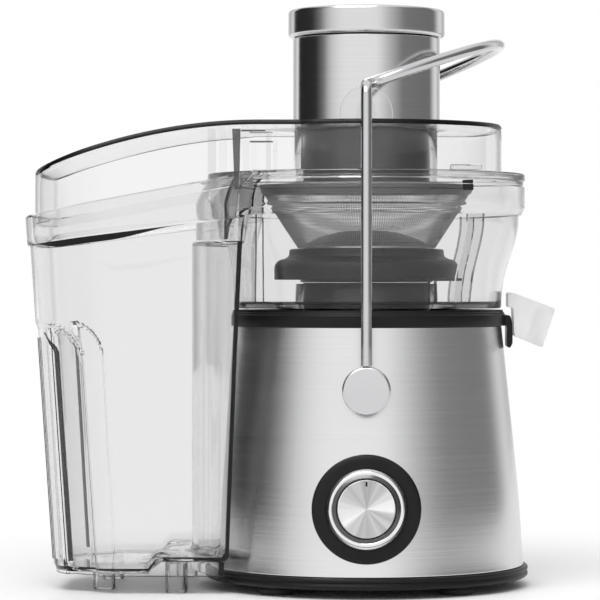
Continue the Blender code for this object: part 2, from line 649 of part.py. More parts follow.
def build_bail():
    half = bail_points()
    whole = half + [(x, -y, z) for x, y, z in reversed(half[:-1])]
    pieces = [rod("bail_rod", whole, BAIL_ROD_RADIUS, CHROME, 2)]
    for side, label in ((-1, "front"), (1, "rear")):
        face = disc("bail_disc_" + label, BAIL_DISC_RADIUS, -BAIL_DISC_HALF, BAIL_DISC_HALF, CHROME, 24)
        face.location = (MOTOR_X, side * BAIL_LEG_Y, BAIL_PIVOT_Z)
        face.rotation_euler.x = math.radians(-90 * side)
        pin_length = BAIL_LEG_Y - BAIL_DISC_HALF - GAP - PIN_INNER_Y
        pin = disc("bail_pin_" + label, 4 * MM, 0.0, pin_length, STEEL, SMALL_STEPS)
        pin.location = (MOTOR_X, side * PIN_INNER_Y, BAIL_PIVOT_Z)
        pin.rotation_euler.x = math.radians(-90 * side)
        pieces += [face, pin]
    cam = disc("interlock_cam", CAM_RADIUS, -CAM_HALF, CAM_HALF, GREY, 24)
    cam.location = (MOTOR_X - CAM_OFFSET, INTERLOCK_Y, BAIL_PIVOT_Z)
    cam.rotation_euler.x = math.radians(90)
    pieces.append(cam)
    hang(axis_empty("bail_axis", (MOTOR_X, 0.0, BAIL_PIVOT_Z)), *pieces)


# ------------------------------------------------------------------ speed knob
def build_knob():
    axis = axis_empty("knob_axis", (MOTOR_X, KNOB_FACE_Y, KNOB_Z), (math.radians(90) - KNOB_TILT, 0.0, 0.0))
    centre = (0.0, 0.0, 0.0)
    ring_profile = mm((0, 5), (16.8, 5), (16.8, 12.6), (19.4, 12.6), (20.8, 11), (20.8, 3.6), (0, 3.6))
    chrome = turned("knob_ring", ring_profile, CHROME, 32, centre)
    cap = turned("knob_cap", mm((0, 12), (15.6, 12), (16.4, 11.2), (16.4, 5.3), (0, 5.3)), STEEL, 32, centre)
    shaft = turned("knob_shaft", mm((0, 3.3), (3, 3.3), (3, -16), (0, -16)), STEEL, SMALL_STEPS, centre)
    hang_local(axis, chrome, cap, shaft)
    bezel_profile = mm((22, 3.2), (29, 3.2), (30, 2.2), (30, -9), (22, -9), (22, -3), (5, -3), (5, 0.5),
                       (22, 0.5))
    bezel = turned("knob_bezel", bezel_profile, BLACK, 32, centre)
    bezel.location = axis.location
    bezel.rotation_euler = axis.rotation_euler
    clearance = [(0.0, 160 * MM), (SHELL_PROFILE[0][0] + GAP, 160 * MM)]
    clearance += [(radius + GAP, height) for radius, height in SHELL_PROFILE] + [(0.0, 5 * MM)]
    cut(bezel, turned("shell_space_cutter", clearance, None, STEPS))


def build_juicer():
    build_base_pan()
    build_feet()
    build_foot_screws()
    build_steel_shell()
    build_top_deck()
    build_motor()
    build_motor_mounts()
    build_electrics()
    build_bail_bosses()
    build_bowl()
    build_spout()
    build_spinner()
    build_feed()
    build_container()
    build_bail()
    build_knob()


build_juicer()
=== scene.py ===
"""Looks of the centrifugal juicer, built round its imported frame.

Everything stands where the frame says. Meshes are drawn in millimetres, most of them from the motor
axis, and piece() scales them to metres. A turned piece is drawn as a profile of points given as
(inset from its node's outer radius, height above its node's foot).
"""
import functools
import json
import math

import bmesh
import bpy
from mathutils import Matrix, Vector


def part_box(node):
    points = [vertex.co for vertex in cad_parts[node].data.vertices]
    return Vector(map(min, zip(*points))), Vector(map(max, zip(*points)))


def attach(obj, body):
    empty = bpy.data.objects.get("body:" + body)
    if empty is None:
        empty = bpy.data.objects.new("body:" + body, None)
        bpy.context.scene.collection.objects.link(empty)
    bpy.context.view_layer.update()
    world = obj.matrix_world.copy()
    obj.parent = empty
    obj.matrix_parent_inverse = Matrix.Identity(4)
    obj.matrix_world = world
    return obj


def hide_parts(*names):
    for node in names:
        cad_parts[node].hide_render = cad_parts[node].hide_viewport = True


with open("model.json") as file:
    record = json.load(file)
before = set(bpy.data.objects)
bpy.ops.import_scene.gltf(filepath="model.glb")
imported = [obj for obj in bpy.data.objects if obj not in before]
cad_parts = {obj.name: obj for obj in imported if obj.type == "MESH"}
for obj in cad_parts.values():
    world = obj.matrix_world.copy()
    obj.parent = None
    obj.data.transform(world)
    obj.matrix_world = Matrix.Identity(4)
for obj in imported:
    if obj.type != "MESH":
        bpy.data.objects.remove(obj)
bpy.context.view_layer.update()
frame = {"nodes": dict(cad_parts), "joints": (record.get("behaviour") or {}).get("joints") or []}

MM = 0.001                   # a millimetre, in the scene's metres
STEPS = 144                  # facets round a large turned piece
SMALL_STEPS = 48             # facets round a small one
ON_AXIS = math.inf           # inset of a profile point on the axis
WALL = 2.2                   # moulded clear wall
SHARP = math.radians(38)     # edges sharper than this stay crisp


def box(node):
    """The two corners of a node's box, in millimetres."""
    return [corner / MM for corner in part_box(node)]


SHELL_LOW, SHELL_HIGH = box("steel_shell")
AXIS_X = (SHELL_LOW.x + SHELL_HIGH.x) / 2
MOTOR_AXIS = Matrix.Translation((AXIS_X * MM, 0.0, 0.0))
SIDES = ((-1, "front"), (1, "rear"))


# ------------------------------------------------------------------ frame places
class Place:
    """Centre, outer radius, foot and top of a node that is round about a vertical line."""

    def __init__(self, node, on_motor_axis=True):
        self.low, self.high = box(node)
        self.x = AXIS_X if on_motor_axis else (self.low.x + self.high.x) / 2
        self.y = (self.low.y + self.high.y) / 2
        self.radius = (self.high.y - self.low.y) / 2
        self.foot = self.low.z
        self.top = self.high.z

    def profile(self, points):
        """(inset, height) points as (radius, height)."""
        return [(max(0.0, self.radius - inset), self.foot + height) for inset, height in points]


def joint_frame(name):
    """Matrix whose origin and local Z are a joint's anchor and axis."""
    joint = next(item for item in frame["joints"] if item["name"] == name)
    axis = Vector(joint["axis"]).normalized()
    turn = axis.to_track_quat("Z", "Y")
    return Matrix.Translation(Vector(joint["pos_m"])) @ turn.to_matrix().to_4x4()


# ------------------------------------------------------------------ outlines
def softened(points, size, count=3):
    """A closed outline whose corners are rounded, apart from those on the axis."""
    result = []
    total = len(points)
    for index, (x, z) in enumerate(points):
        here = Vector((x, z))
        before = Vector(points[index - 1]) - here
        after = Vector(points[(index + 1) % total]) - here
        reach = min(size, 0.45 * before.length, 0.45 * after.length)
        if x <= 0.0 or reach < 1e-3 or before.angle(after) > math.radians(170):
            result.append((x, z))
            continue
        start = here + before.normalized() * reach
        end = here + after.normalized() * reach
        for step in range(count + 1):
            share = step / count
            bent = start * (1 - share) ** 2 + here * 2 * share * (1 - share) + end * share ** 2
            result.append((bent.x, bent.y))
    return result


def smooth_line(points, count=6):
    """An open line through the points, as a Catmull-Rom curve."""
    ends = [points[0], *points, points[-1]]
    line = []
    for before, start, end, after in zip(ends, ends[1:], ends[2:], ends[3:]):
        for step in range(count):
            t = step / count
            line.append(tuple(0.5 * (2 * s + (e - b) * t + (2 * b - 5 * s + 4 * e - a) * t ** 2
                                     + (3 * s - b - 3 * e + a) * t ** 3)
                              for b, s, e, a in zip(before, start, end, after)))
    return line + [tuple(points[-1])]


def arc(centre_x, centre_y, radius, start, end, count):
    """Points on an arc, from one angle to another in degrees, both ends included."""
    angles = [math.radians(start + (end - start) * step / count) for step in range(count + 1)]
    return [(centre_x + radius * math.cos(a), centre_y + radius * math.sin(a)) for a in angles]


def ramp(value, low, high):
    """0 below low, 1 above high, smooth between them."""
    share = min(1.0, max(0.0, (value - low) / (high - low)))
    return share * share * (3 - 2 * share)


# ------------------------------------------------------------------ meshes
def spun(profile, steps=STEPS, start=0.0, end=360.0):
    """A closed profile of (radius, height) turned about the Z axis, between two angles."""
    cage = bmesh.new()
    base = [cage.verts.new((radius, 0.0, height)) for radius, height in profile]
    edges = [cage.edges.new((base[i - 1], base[i])) for i in range(len(base))]
    whole = end - start >= 360.0
    geometry = base + edges
    if not whole:
        geometry = geometry + [cage.faces.new(base)]
        bmesh.ops.rotate(cage, verts=base, matrix=Matrix.Rotation(math.radians(start), 3, "Z"))
    bmesh.ops.spin(cage, geom=geometry, axis=(0, 0, 1), cent=(0, 0, 0), angle=math.radians(end - start),
                   steps=steps, use_merge=whole, use_normal_flip=False, use_duplicate=False)
    bmesh.ops.remove_doubles(cage, verts=cage.verts, dist=1e-3)
    bmesh.ops.dissolve_degenerate(cage, edges=cage.edges, dist=1e-4)
    return cage


def stacked(rings, closed=False, capped=True):
    """A solid through rings of points that have the same count; closed joins the last to the first."""
    cage = bmesh.new()
    rows = [[cage.verts.new(point) for point in ring] for ring in rings]
    count = len(rows[0])
    for lower, upper in zip(rows, rows[1:] + rows[:1] if closed else rows[1:]):
        for i in range(count):
            j = (i + 1) % count
            cage.faces.new((lower[i], lower[j], upper[j], upper[i]))
    for row in () if closed or not capped else (rows[0], rows[-1]):
        middle = cage.verts.new(sum((vert.co for vert in row), Vector()) / count)
        for i in range(count):
            cage.faces.new((row[i], row[(i + 1) % count], middle))
    return cage


def slab(outline, low, high):
    """A flat outline of (x, z) points given thickness along Y."""
    cage = bmesh.new()
    face = cage.faces.new([cage.verts.new((x, low, z)) for x, z in outline])
    grown = bmesh.ops.extrude_face_region(cage, geom=[face])
    far = [item for item in grown["geom"] if isinstance(item, bmesh.types.BMVert)]
    bmesh.ops.translate(cage, verts=far, vec=(0.0, high - low, 0.0))
    return cage


def block(low, high):
    """A box between two corners."""
    low, high = Vector(low), Vector(high)
    cage = bmesh.new()
    bmesh.ops.create_cube(cage, size=1.0)
    bmesh.ops.scale(cage, vec=high - low, verts=cage.verts)
    bmesh.ops.translate(cage, vec=(low + high) / 2, verts=cage.verts)
    return cage


def moved(cage, matrix):
    cage.transform(matrix)
    return cage


def turn(degrees):
    return Matrix.Rotation(math.radians(degrees), 4, "Z")


def raised(height_at, amount):
    """A height that changes from place to place, moved up by an amount."""
    return lambda *place: height_at(*place) + amount


def between(low_at, high_at, share):
    """A height part of the way between two that change from place to place."""
    return lambda *place: low_at(*place) + share * (high_at(*place) - low_at(*place))


def merged(*cages):
    """Several cages as one, each a closed body of its own."""
    whole = cages[0]
    for cage in cages[1:]:
        carrier = bpy.data.meshes.new("carrier")
        cage.to_mesh(carrier)
        whole.from_mesh(carrier)
        cage.free()
        bpy.data.meshes.remove(carrier)
    return whole


def rounded_edges(obj, width, segments=2):
    bevel = obj.modifiers.new("Edges", "BEVEL")
    bevel.width = width * MM
    bevel.segments = segments
    bevel.limit_method = "ANGLE"
    bevel.angle_limit = SHARP
    return obj


def piece(name, cage, finish, body, slot="clear_plastic", nodes=(), place=MOTOR_AXIS):
    """A finished piece: its mesh, material, body and the CAD nodes that it stands for; the slot argument is not used.
    """
    cage.transform(Matrix.Scale(MM, 4))
    bmesh.ops.recalc_face_normals(cage, faces=cage.faces)
    mesh = bpy.data.meshes.new(name)
    cage.to_mesh(mesh)
    cage.free()
    mesh.shade_smooth()
    mesh.set_sharp_from_angle(angle=SHARP)
    mesh.materials.append(finish)
    obj = bpy.data.objects.new(name, mesh)
    bpy.context.scene.collection.objects.link(obj)
    obj.matrix_world = place
    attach(obj, body)
    if nodes:
        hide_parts(*nodes)
    return obj


def turned(name, node, points, finish, body, slot, soften=0.5, steps=STEPS):
    """A turned piece that stands for one node, on the node's own axis."""
    place = Place(node, on_motor_axis=steps == STEPS)
    cage = spun(softened(place.profile(points), soften), steps)
    return piece(name, cage, finish, body, slot, [node], Matrix.Translation((place.x * MM, place.y * MM, 0.0)))


# ------------------------------------------------------------------ materials
def feed(tree, socket, value):
    """Gives a socket a value, or links it to another node's output."""
    if isinstance(value, bpy.types.NodeSocket):
        tree.links.new(value, socket)
    else:
        socket.default_value = value


def add_node(tree, kind, inputs=None, output=0, **settings):
    """Adds a node with its settings and inputs, and returns one of its outputs."""
    node = tree.nodes.new(kind)
    for key, value in settings.items():
        setattr(node, key, value)
    for key, value in (inputs or {}).items():
        feed(tree, node.inputs[key], value)
    return node.outputs[output]


class Finish:
    """A Principled material under construction, with small helpers for its nodes."""

    def __init__(self, name, colour, roughness, metallic=0.0, **sockets):
        self.material = bpy.data.materials.new(name)
        self.material.use_nodes = True
        self.tree = self.material.node_tree
        self.shader = self.tree.nodes["Principled BSDF"]
        self.set(Base_Color=(*colour, 1.0), Roughness=roughness, Metallic=metallic, **sockets)

    def set(self, **sockets):
        """Sets or links the shader's inputs; an underscore stands for a space in a name."""
        for name, value in sockets.items():
            feed(self.tree, self.shader.inputs[name.replace("_", " ")], value)
        return self

    def output(self, socket, value):
        feed(self.tree, self.tree.nodes["Material Output"].inputs[socket], value)

    def add(self, kind, inputs=None, output=0, **settings):
        return add_node(self.tree, kind, inputs, output, **settings)

    def place(self):
        return self.add("ShaderNodeTexCoord", output="Object")

    def noise(self, stretch, detail=3.0, roughness=0.55):
        """Noise in the object's own space, with its frequency per metre along each axis."""
        spot = self.add("ShaderNodeMapping", {"Vector": self.place(), "Scale": stretch})
        settings = {"Vector": spot, "Scale": 1.0, "Detail": detail, "Roughness": roughness}
        return self.add("ShaderNodeTexNoise", settings)

    def spread(self, factor, low, high, centre=0.5, width=0.22):
        """Maps noise about its middle to the range low to high."""
        return self.add("ShaderNodeMapRange", {"Value": factor, "From Min": centre - width,
                                               "From Max": centre + width, "To Min": low, "To Max": high})

    def rough(self, factor, low, high):
        return self.set(Roughness=self.spread(factor, low, high))

    def tint(self, factor, dark, light):
        """Base colour between two tones of the same material."""
        colour = self.add("ShaderNodeValToRGB", {"Fac": factor})
        for element, spot, tone in zip(colour.node.color_ramp.elements, (0.3, 0.7), (dark, light)):
            element.position = spot
            element.color = (*tone, 1.0)
        return self.set(Base_Color=colour)

    def bump(self, factor, depth, strength):
        """Relief of a depth in millimetres."""
        relief = {"Height": factor, "Distance": depth * MM, "Strength": strength}
        return self.set(Normal=self.add("ShaderNodeBump", relief))

    def brushed_round_z(self):
        return self.set(Tangent=self.add("ShaderNodeTangent", direction_type="RADIAL", axis="Z"))


def brushed_steel(name, tone, roughness, anisotropy, grain):
    """Steel brushed round its axis: fine streaks along the circumference."""
    finish = Finish(name, (tone, tone, tone * 1.01), roughness, 1.0, Anisotropic=anisotropy)
    streaks = finish.noise((9.0, 9.0, grain), 4.0, 0.65)
    finish.tint(streaks, (tone * 0.96,) * 3, (tone * 1.03, tone * 1.03, tone * 1.04))
    finish.rough(streaks, roughness - 0.03, roughness + 0.04).bump(streaks, 0.002, 0.4)
    return finish.brushed_round_z().material


def spun_steel(name, tone, roughness):
    """Turned face: fine rings about the object's Z axis, and faint streaks of painted highlight fanning from its
    middle.
    """
    finish = Finish(name, (tone,) * 3, roughness, 1.0, Anisotropic=0.95)
    place = finish.place()
    flat = finish.add("ShaderNodeVectorMath", {0: place, 1: (1.0, 1.0, 0.0)}, operation="MULTIPLY")
    bearing = finish.add("ShaderNodeVectorMath", {0: flat}, operation="NORMALIZE")
    # Lighter and darker streaks fanning from the middle: painted highlights in the colour.
    highlight_streaks = finish.add("ShaderNodeTexNoise", {"Vector": bearing, "Scale": 2.6, "Detail": 1.0})
    finish.tint(highlight_streaks, (tone * 0.72,) * 3, (tone * 1.12,) * 3)
    rings = finish.add("ShaderNodeTexWave", {"Vector": place, "Scale": 900.0, "Distortion": 1.5, "Detail": 2.0},
                       "Fac", wave_type="RINGS", rings_direction="Z")
    finish.bump(rings, 0.006, 0.5).rough(rings, roughness - 0.03, roughness + 0.05)
    return finish.brushed_round_z().material


def polished_metal(name, tone, roughness):
    finish = Finish(name, tone, roughness, 1.0)
    return finish.rough(finish.noise((60.0,) * 3, 4.0), roughness * 0.6, roughness * 1.7).material


def moulded(name, dark, light, roughness, relief=0.02, grain=1400.0, **sockets):
    """Moulded plastic or rubber: a very fine pitted surface with slow changes of gloss."""
    finish = Finish(name, dark, roughness, **sockets)
    flow = finish.noise((38.0,) * 3)
    finish.tint(flow, dark, light).rough(flow, roughness - 0.06, roughness + 0.09)
    return finish.bump(finish.noise((grain,) * 3, 2.0), relief, 0.7).material


def clear_plastic(name, tone, density, roughness=0.015):
    """Clear moulding. Light that travels a long way inside it, as at its edges, comes out darker."""
    finish = Finish(name, (tone,) * 3, roughness, IOR=1.38, Transmission_Weight=1.0)
    finish.rough(finish.noise((45.0,) * 3), roughness * 0.4, roughness * 2.2)
    finish.bump(finish.noise((70.0,) * 3, 1.0), 0.05, 0.35)
    finish.output("Volume", finish.add("ShaderNodeVolumeAbsorption", {"Color": (0.0, 0.0, 0.0, 1.0),
                                                                      "Density": density}))
    return finish.material


STEEL = brushed_steel("shell_steel", 0.74, 0.22, 0.75, 3200.0)
SLEEVE_STEEL = brushed_steel("sleeve_steel", 0.68, 0.12, 0.6, 2400.0)
CAP_STEEL = brushed_steel("cap_steel", 0.66, 0.14, 0.6, 2400.0)
INNER_STEEL = polished_metal("sieve_steel", (0.50, 0.50, 0.51), 0.32)
CHROME = polished_metal("bright_chrome", (0.80, 0.80, 0.81), 0.08)
BAIL_CHROME = polished_metal("bail_chrome", (0.60, 0.60, 0.61), 0.10)
# Nearly black chrome for the dial's groove: painted shade in the groove between ring and cap.
GROOVE_SHADE_CHROME = polished_metal("painted_groove_shade", (0.11, 0.11, 0.11), 0.20)
DISC_CHROME = polished_metal("satin_chrome", (0.62, 0.62, 0.63), 0.24)
BEARING_STEEL = polished_metal("bearing_steel", (0.55, 0.55, 0.56), 0.22)
DIAL_STEEL = spun_steel("dial_steel", 0.68, 0.40)
BLACK = moulded("black_plastic", (0.004, 0.004, 0.004), (0.007, 0.007, 0.007), 0.36, Specular_IOR_Level=0.22)
HUB_BLACK = moulded("hub_plastic", (0.006, 0.006, 0.006), (0.011, 0.011, 0.011), 0.38, Specular_IOR_Level=0.3)
GREY = moulded("grey_plastic", (0.040, 0.040, 0.041), (0.060, 0.060, 0.062), 0.42, Specular_IOR_Level=0.4)
RIM_GREY = moulded("rim_plastic", (0.15, 0.15, 0.152), (0.19, 0.19, 0.193), 0.4, Specular_IOR_Level=0.4)
TRIM = moulded("dark_trim", (0.003, 0.003, 0.003), (0.006, 0.006, 0.006), 0.3, Specular_IOR_Level=0.2)
RUBBER = moulded("rubber", (0.014, 0.014, 0.014), (0.022, 0.022, 0.022), 0.7, 0.05, 900.0)
CARBON = moulded("carbon", (0.020, 0.020, 0.021), (0.035, 0.035, 0.036), 0.6, 0.03, 1800.0)
BOARD = moulded("circuit_board", (0.02, 0.10, 0.045), (0.03, 0.14, 0.06), 0.4, 0.02, 700.0)
COPPER = polished_metal("enamelled_copper", (0.62, 0.27, 0.13), 0.3)
IRON = polished_metal("laminated_iron", (0.24, 0.24, 0.25), 0.45)
CLEAR = clear_plastic("clear_plastic", 0.965, 10.0)
BOWL_CLEAR = clear_plastic("bowl_plastic", 0.905, 12.0)
LIP_CLEAR = clear_plastic("lip_plastic", 0.93, 15.0)
# Much darker clear plastic for the pulp lip's ends: painted shade.
LIP_END_SHADE = clear_plastic("lip_end_shade_plastic", 0.72, 120.0)
# Tinted clear plastic over the front recess: painted shade in the recess.
RECESS_SHADE_CLEAR = clear_plastic("recess_shade_plastic", 0.86, 5.0)
EDGE_CLEAR = clear_plastic("thick_clear_plastic", 0.97, 60.0)
# Dark clear plastic for thin ribs, the juice guard and the container's lower edge: painted shade.
EDGE_SHADE_CLEAR = clear_plastic("painted_shade_plastic", 0.30, 500.0)
# Nearly black clear plastic for strips along the grip's ridge: painted shade.
LINE_SHADE_CLEAR = clear_plastic("line_shade_plastic", 0.10, 900.0)
TRAY_CLEAR = clear_plastic("tray_plastic", 0.905, 5.0)
FROSTED = moulded("frosted_plastic", (0.93, 0.93, 0.93), (0.98, 0.98, 0.98), 0.45, 0.02, 1200.0,
                  Transmission_Weight=0.6)


# ------------------------------------------------------------------ motor base
def make_shell():
    outer = smooth_line([(12.5, 136.2), (12.0, 131.2), (8.6, 98.0), (5.2, 65.2), (2.4, 35.2), (0.6, 7.7), (0.0, 0.0)])
    inner = [(inset + 1.0, height) for inset, height in reversed(outer)]
    turned("shell_skin", "steel_shell", outer + inner, STEEL, "base", "brushed_steel", 0.3)


def make_pan():
    outline = [(7.1, 13.0), (4.6, 13.0), (4.6, 6.5), (0.8, 6.5), (0.0, 5.7), (0.0, 4.4), (0.7, 3.8), (0.7, 3.2),
               (0.0, 2.6), (0.0, 1.2), (1.2, 0.0), (ON_AXIS, 0.0), (ON_AXIS, 3.0), (7.1, 3.0)]
    turned("base_ring", "base_pan", outline, BLACK, "base", "black_plastic", 0.4)


def make_feet():
    outline = [(ON_AXIS, 4.7), (0.8, 4.7), (0.8, 3.6), (0.0, 3.0), (0.0, 1.0), (1.0, 0.0), (2.6, 0.0), (2.9, 0.5),
               (4.1, 0.5), (4.4, 0.0), (5.6, 0.0), (5.9, 0.5), (ON_AXIS, 0.5)]
    for index in range(1, 5):
        turned("foot_%d" % index, "rubber_foot_%d" % index, outline, RUBBER, "base", "rubber", 0.4, SMALL_STEPS)


def make_deck():
    """Black collar under the bowl, the deck inside it, and the hook below the spout."""
    deck = Place("top_deck")
    base = box("steel_shell")[1].z - deck.foot
    outline = [(43.5, base + 25), (43.5, base + 7.5), (3.5, base + 7.5), (3.5, base + 9.4), (1.6, base + 9.4),
               (1.6, base + 8.2), (0.9, base + 7.9), (0.9, base + 7.2), (0.0, base + 6.6), (0.0, base + 0.4),
               (5.0, base + 0.4), (5.0, base - 4), (6.6, base - 4), (6.6, base + 5), (46.0, base + 5),
               (46.0, base + 22.5), (71.0, base + 22.5), (71.0, base + 25)]
    body = spun(softened(deck.profile(outline), 0.35))
    reach = deck.high.x - AXIS_X
    top = deck.foot + 18.9
    hook = [(reach - 6.0, top - 6), (reach - 6.0, top), (reach - 1.4, top), (reach, top - 5),
            (reach, deck.foot + 2.6), (reach - 1.6, deck.foot), (reach - 3.2, deck.foot + 1.0),
            (reach - 3.2, top - 6)]
    whole = merged(body, slab(softened(hook, 1.2), -13, 13))
    piece("collar_and_deck", whole, BLACK, "base", "black_plastic", ["top_deck"])


# ------------------------------------------------------------------ speed dial
def make_dial():
    """Dial pieces are drawn in the frame of its joint, turned so that +Z points out of the shell."""
    face = joint_frame("speed_knob_turn") @ Matrix.Rotation(math.pi, 4, "X")
    bezel = [(22.0, 3.2), (22.8, 3.4), (27.2, 3.4), (29.4, 2.9), (30.0, 1.9), (30.0, -8.6), (22.0, -8.6)]
    ring = [(0.0, 5.0), (18.4, 5.0), (18.4, 11.0), (19.4, 11.4), (20.4, 11.3), (20.8, 10.4), (20.8, 3.6), (0.0, 3.6)]
    # The groove ring is drawn in nearly black metal, as painted shade.
    groove = [(16.7, 5.4), (16.7, 12.0), (17.4, 11.7), (19.2, 11.0), (19.2, 10.6), (18.6, 5.4)]
    cap = [(0.0, 11.5), (15.0, 12.0), (15.6, 12.0), (16.3, 11.3), (16.3, 5.3), (0.0, 5.3)]
    for name, outline, finish, body, slot, node, size in (
            ("dial_bezel", bezel, BLACK, "base", "black_plastic", "knob_bezel", 0.5),
            ("dial_ring", ring, CHROME, "knob", "bright_chrome", "knob_ring", 0.4),
            ("dial_groove", groove, GROOVE_SHADE_CHROME, "knob", "bright_chrome", None, 0.1),
            ("dial_cap", cap, DIAL_STEEL, "knob", "brushed_steel", "knob_cap", 0.25)):
        cage = spun(softened(outline, size), 96)
        piece(name, cage, finish, body, slot, [node] if node else (), face)
    pointer = block((-0.55, -14.8, 11.6), (0.55, -12.2, 12.15))
    rounded_edges(piece("dial_pointer", pointer, BLACK, "knob", "black_plastic", place=face), 0.2)


# ------------------------------------------------------------------ locking bail
def bail_line():
    """The rod's middle line, from its foot above one pivot disc to the loop's tip, from the motor axis."""
    low, high = box("bail_rod")
    radius = AXIS_X - low.x
    leg_y = high.y - radius
    pivot_z = box("bail_disc_front")[1].z
    loop_x = high.x - AXIS_X - radius
    rise = 0.366
    loop_z = high.z - radius - rise * loop_x
    bend = 7.0
    line = [(0.0, -leg_y, pivot_z + 0.3), (0.0, -leg_y, (pivot_z + loop_z) / 2)]
    line += [(0.0, -leg_y + bend + u, loop_z - bend + v) for u, v in arc(0.0, 0.0, bend, 180, 96, 9)]
    for degrees in range(5, 91, 2):
        angle = math.radians(degrees)
        x = loop_x * math.sin(angle)
        line.append((x, -(leg_y - 10) * math.cos(angle), loop_z + rise * x))
    return line, radius


def make_bail():
    """The wire bail: a rod bent over the lid, with a pivot disc at each end."""
    half, radius = bail_line()
    line = half + [(x, -y, z) for x, y, z in reversed(half[:-1])]
    curve = bpy.data.curves.new("bail_tube", "CURVE")
    curve.dimensions = "3D"
    curve.bevel_depth = radius * MM
    curve.bevel_resolution = 7
    curve.use_fill_caps = True
    curve.materials.append(BAIL_CHROME)
    spline = curve.splines.new("POLY")
    spline.points.add(len(line) - 1)
    for spot, point in zip(spline.points, line):
        spot.co = (*(Vector(point) * MM), 1.0)
    spline.use_smooth = True
    rod = bpy.data.objects.new("bail_tube", curve)
    rod.location.x = AXIS_X * MM
    bpy.context.scene.collection.objects.link(rod)
    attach(rod, "bail")
    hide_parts("bail_rod")
    for side, label in SIDES:
        low, high = box("bail_disc_" + label)
        middle = (low + high) / 2
        radius = (high.x - low.x) / 2
        half_depth = (high.y - low.y) / 2
        outline = [(0.0, half_depth), (radius - 1.0, half_depth), (radius, half_depth - 1.0),
                   (radius, -half_depth), (0.0, -half_depth)]
        place = Matrix.Translation(middle * MM) @ Matrix.Rotation(math.radians(-90 * side), 4, "X")
        piece("pivot_disc_" + label, spun(softened(outline, 0.5), 96), DISC_CHROME, "bail", "bright_chrome",
              ["bail_disc_" + label], place)


# ------------------------------------------------------------------ juice bowl and spout
LIP_HALF_ANGLE = 36          # the pulp lip is level to here, in degrees from its middle
LIP_END_ANGLE = 10           # and rises to the rim over this much more


def make_bowl():
    """Clear bowl: floor and chimney, waisted wall, and the rim with its two beads."""
    outer = smooth_line([(3.5, 54.2), (3.5, 51.7), (3.9, 45.7), (6.0, 36.7), (9.0, 27.7), (11.6, 18.7), (13.2, 8.7),
                         (13.6, 0.0)], 4)
    rim = [(0.0, 76.1), (0.0, 72.6), (0.9, 72.2), (0.9, 69.4), (0.0, 69.0), (0.0, 59.0), (0.5, 56.4), (2.4, 52.8)]
    floor = [(53.2, 0.0), (53.2, 14.0), (50.4, 14.0), (49.8, 2.5), (16.5, 2.5), (15.3, 4.4)]
    inner = [(inset + WALL, height) for inset, height in reversed(outer[1:-2])]
    flange = [(4.6, 53.4), (2.7, 57.2), (2.4, 60.0), (2.4, 74.2), (17.0, 74.2), (17.0, 76.7), (0.5, 76.7)]
    bowl = Place("juice_bowl")
    body = spun(softened(bowl.profile(rim + outer[2:] + floor + inner + flange), 0.6, 2))
    piece("clear_bowl", body, BOWL_CLEAR, "base", nodes=["juice_bowl"])
    make_pulp_lip(bowl)


def make_pulp_lip(bowl):
    """Wall that hangs from the bowl's rim over the container; its ends rise in a curve to the rim and are drawn in
    darker plastic, as painted shade.
    """
    end = LIP_HALF_ANGLE + LIP_END_ANGLE
    for name, start, stop, finish in (("pulp_lip", -LIP_HALF_ANGLE, LIP_HALF_ANGLE, LIP_CLEAR),
                                      ("lip_end_front", LIP_HALF_ANGLE, end, LIP_END_SHADE),
                                      ("lip_end_rear", -end, -LIP_HALF_ANGLE, LIP_END_SHADE)):
        piece(name, stacked([lip_section(bowl, degrees) for degrees in range(start, stop + 1)]), finish, "base")


def lip_section(bowl, degrees):
    """The lip cut through by an upright plane, at an angle from its middle."""
    share = max(0.0, (abs(degrees) - LIP_HALF_ANGLE) / LIP_END_ANGLE)
    reach = AXIS_X - bowl.low.x - 6 * share
    foot = bowl.foot + 38.7 + 18.0 * math.sqrt(1 - (1 - share) ** 2)
    shoulder = [(8.4, 0.6), (6.2, 3.4), (3.4, 8.0), (1.2, 13.2), (0.0, 17.4)]
    lip = [(reach - inset, bowl.top - drop) for inset, drop in shoulder]
    lip += [(reach, foot), (reach - WALL, foot)]
    lip += [(reach - inset - WALL, bowl.top - drop - 0.6) for inset, drop in reversed(shoulder)]
    angle = math.radians(180 + degrees)
    return [(r * math.cos(angle), r * math.sin(angle), z) for r, z in lip]


def bowl_wall_radius(height):
    """Inner radius of the bowl's wall at a height above its floor."""
    bowl = Place("juice_bowl")
    points = ((2.5, 74.9), (8.7, 75.6), (18.7, 77.2), (27.7, 79.8), (36.7, 82.8), (45.7, 84.9), (54.0, 85.2))
    for (low, start), (high, end) in zip(points, points[1:]):
        if height <= bowl.foot + high:
            share = max(0.0, (height - bowl.foot - low) / (high - low))
            return start + share * (end - start)
    return points[-1][1]


def make_bowl_fins():
    """Upright fins and ribs on the inside of the bowl's wall, front and rear, and the juice guard; the ribs and the
    guard are drawn in dark clear plastic, as painted shade.
    """
    foot = Place("juice_bowl").foot
    heights = [foot + 2.6 + 51.0 * step / 16 for step in range(17)]
    outer = [(bowl_wall_radius(z) - 0.15, z) for z in heights]
    inner = [(radius - 11.0, z) for radius, z in reversed(outer)]
    for side, label in SIDES:
        fin = moved(slab(outer + inner, -0.9, 0.9), turn(side * 40.8))
        piece("fin_%s_right" % label, fin, EDGE_CLEAR, "base")
        rib = block((-61.8, side * 42.5 - 1.2, foot + 3), (-61.0, side * 42.5 + 1.2, foot + 53))
        piece("bowl_rib_" + label, rib, EDGE_SHADE_CLEAR, "base")
    bar = [(radius, foot + height) for radius, height in ((65.5, 15.6), (65.5, 17.2), (63, 17.2), (63, 15.6))]
    piece("juice_guard", spun(softened(bar, 0.3), 24, -71, -35), EDGE_SHADE_CLEAR, "base")
    for index, degrees in enumerate((-57, -53)):
        leg = block((62.6, -0.5, foot + 2.6), (64.0, 0.5, foot + 15.5))
        piece("guard_leg_%d" % (index + 1), moved(leg, turn(degrees)), EDGE_SHADE_CLEAR, "base")


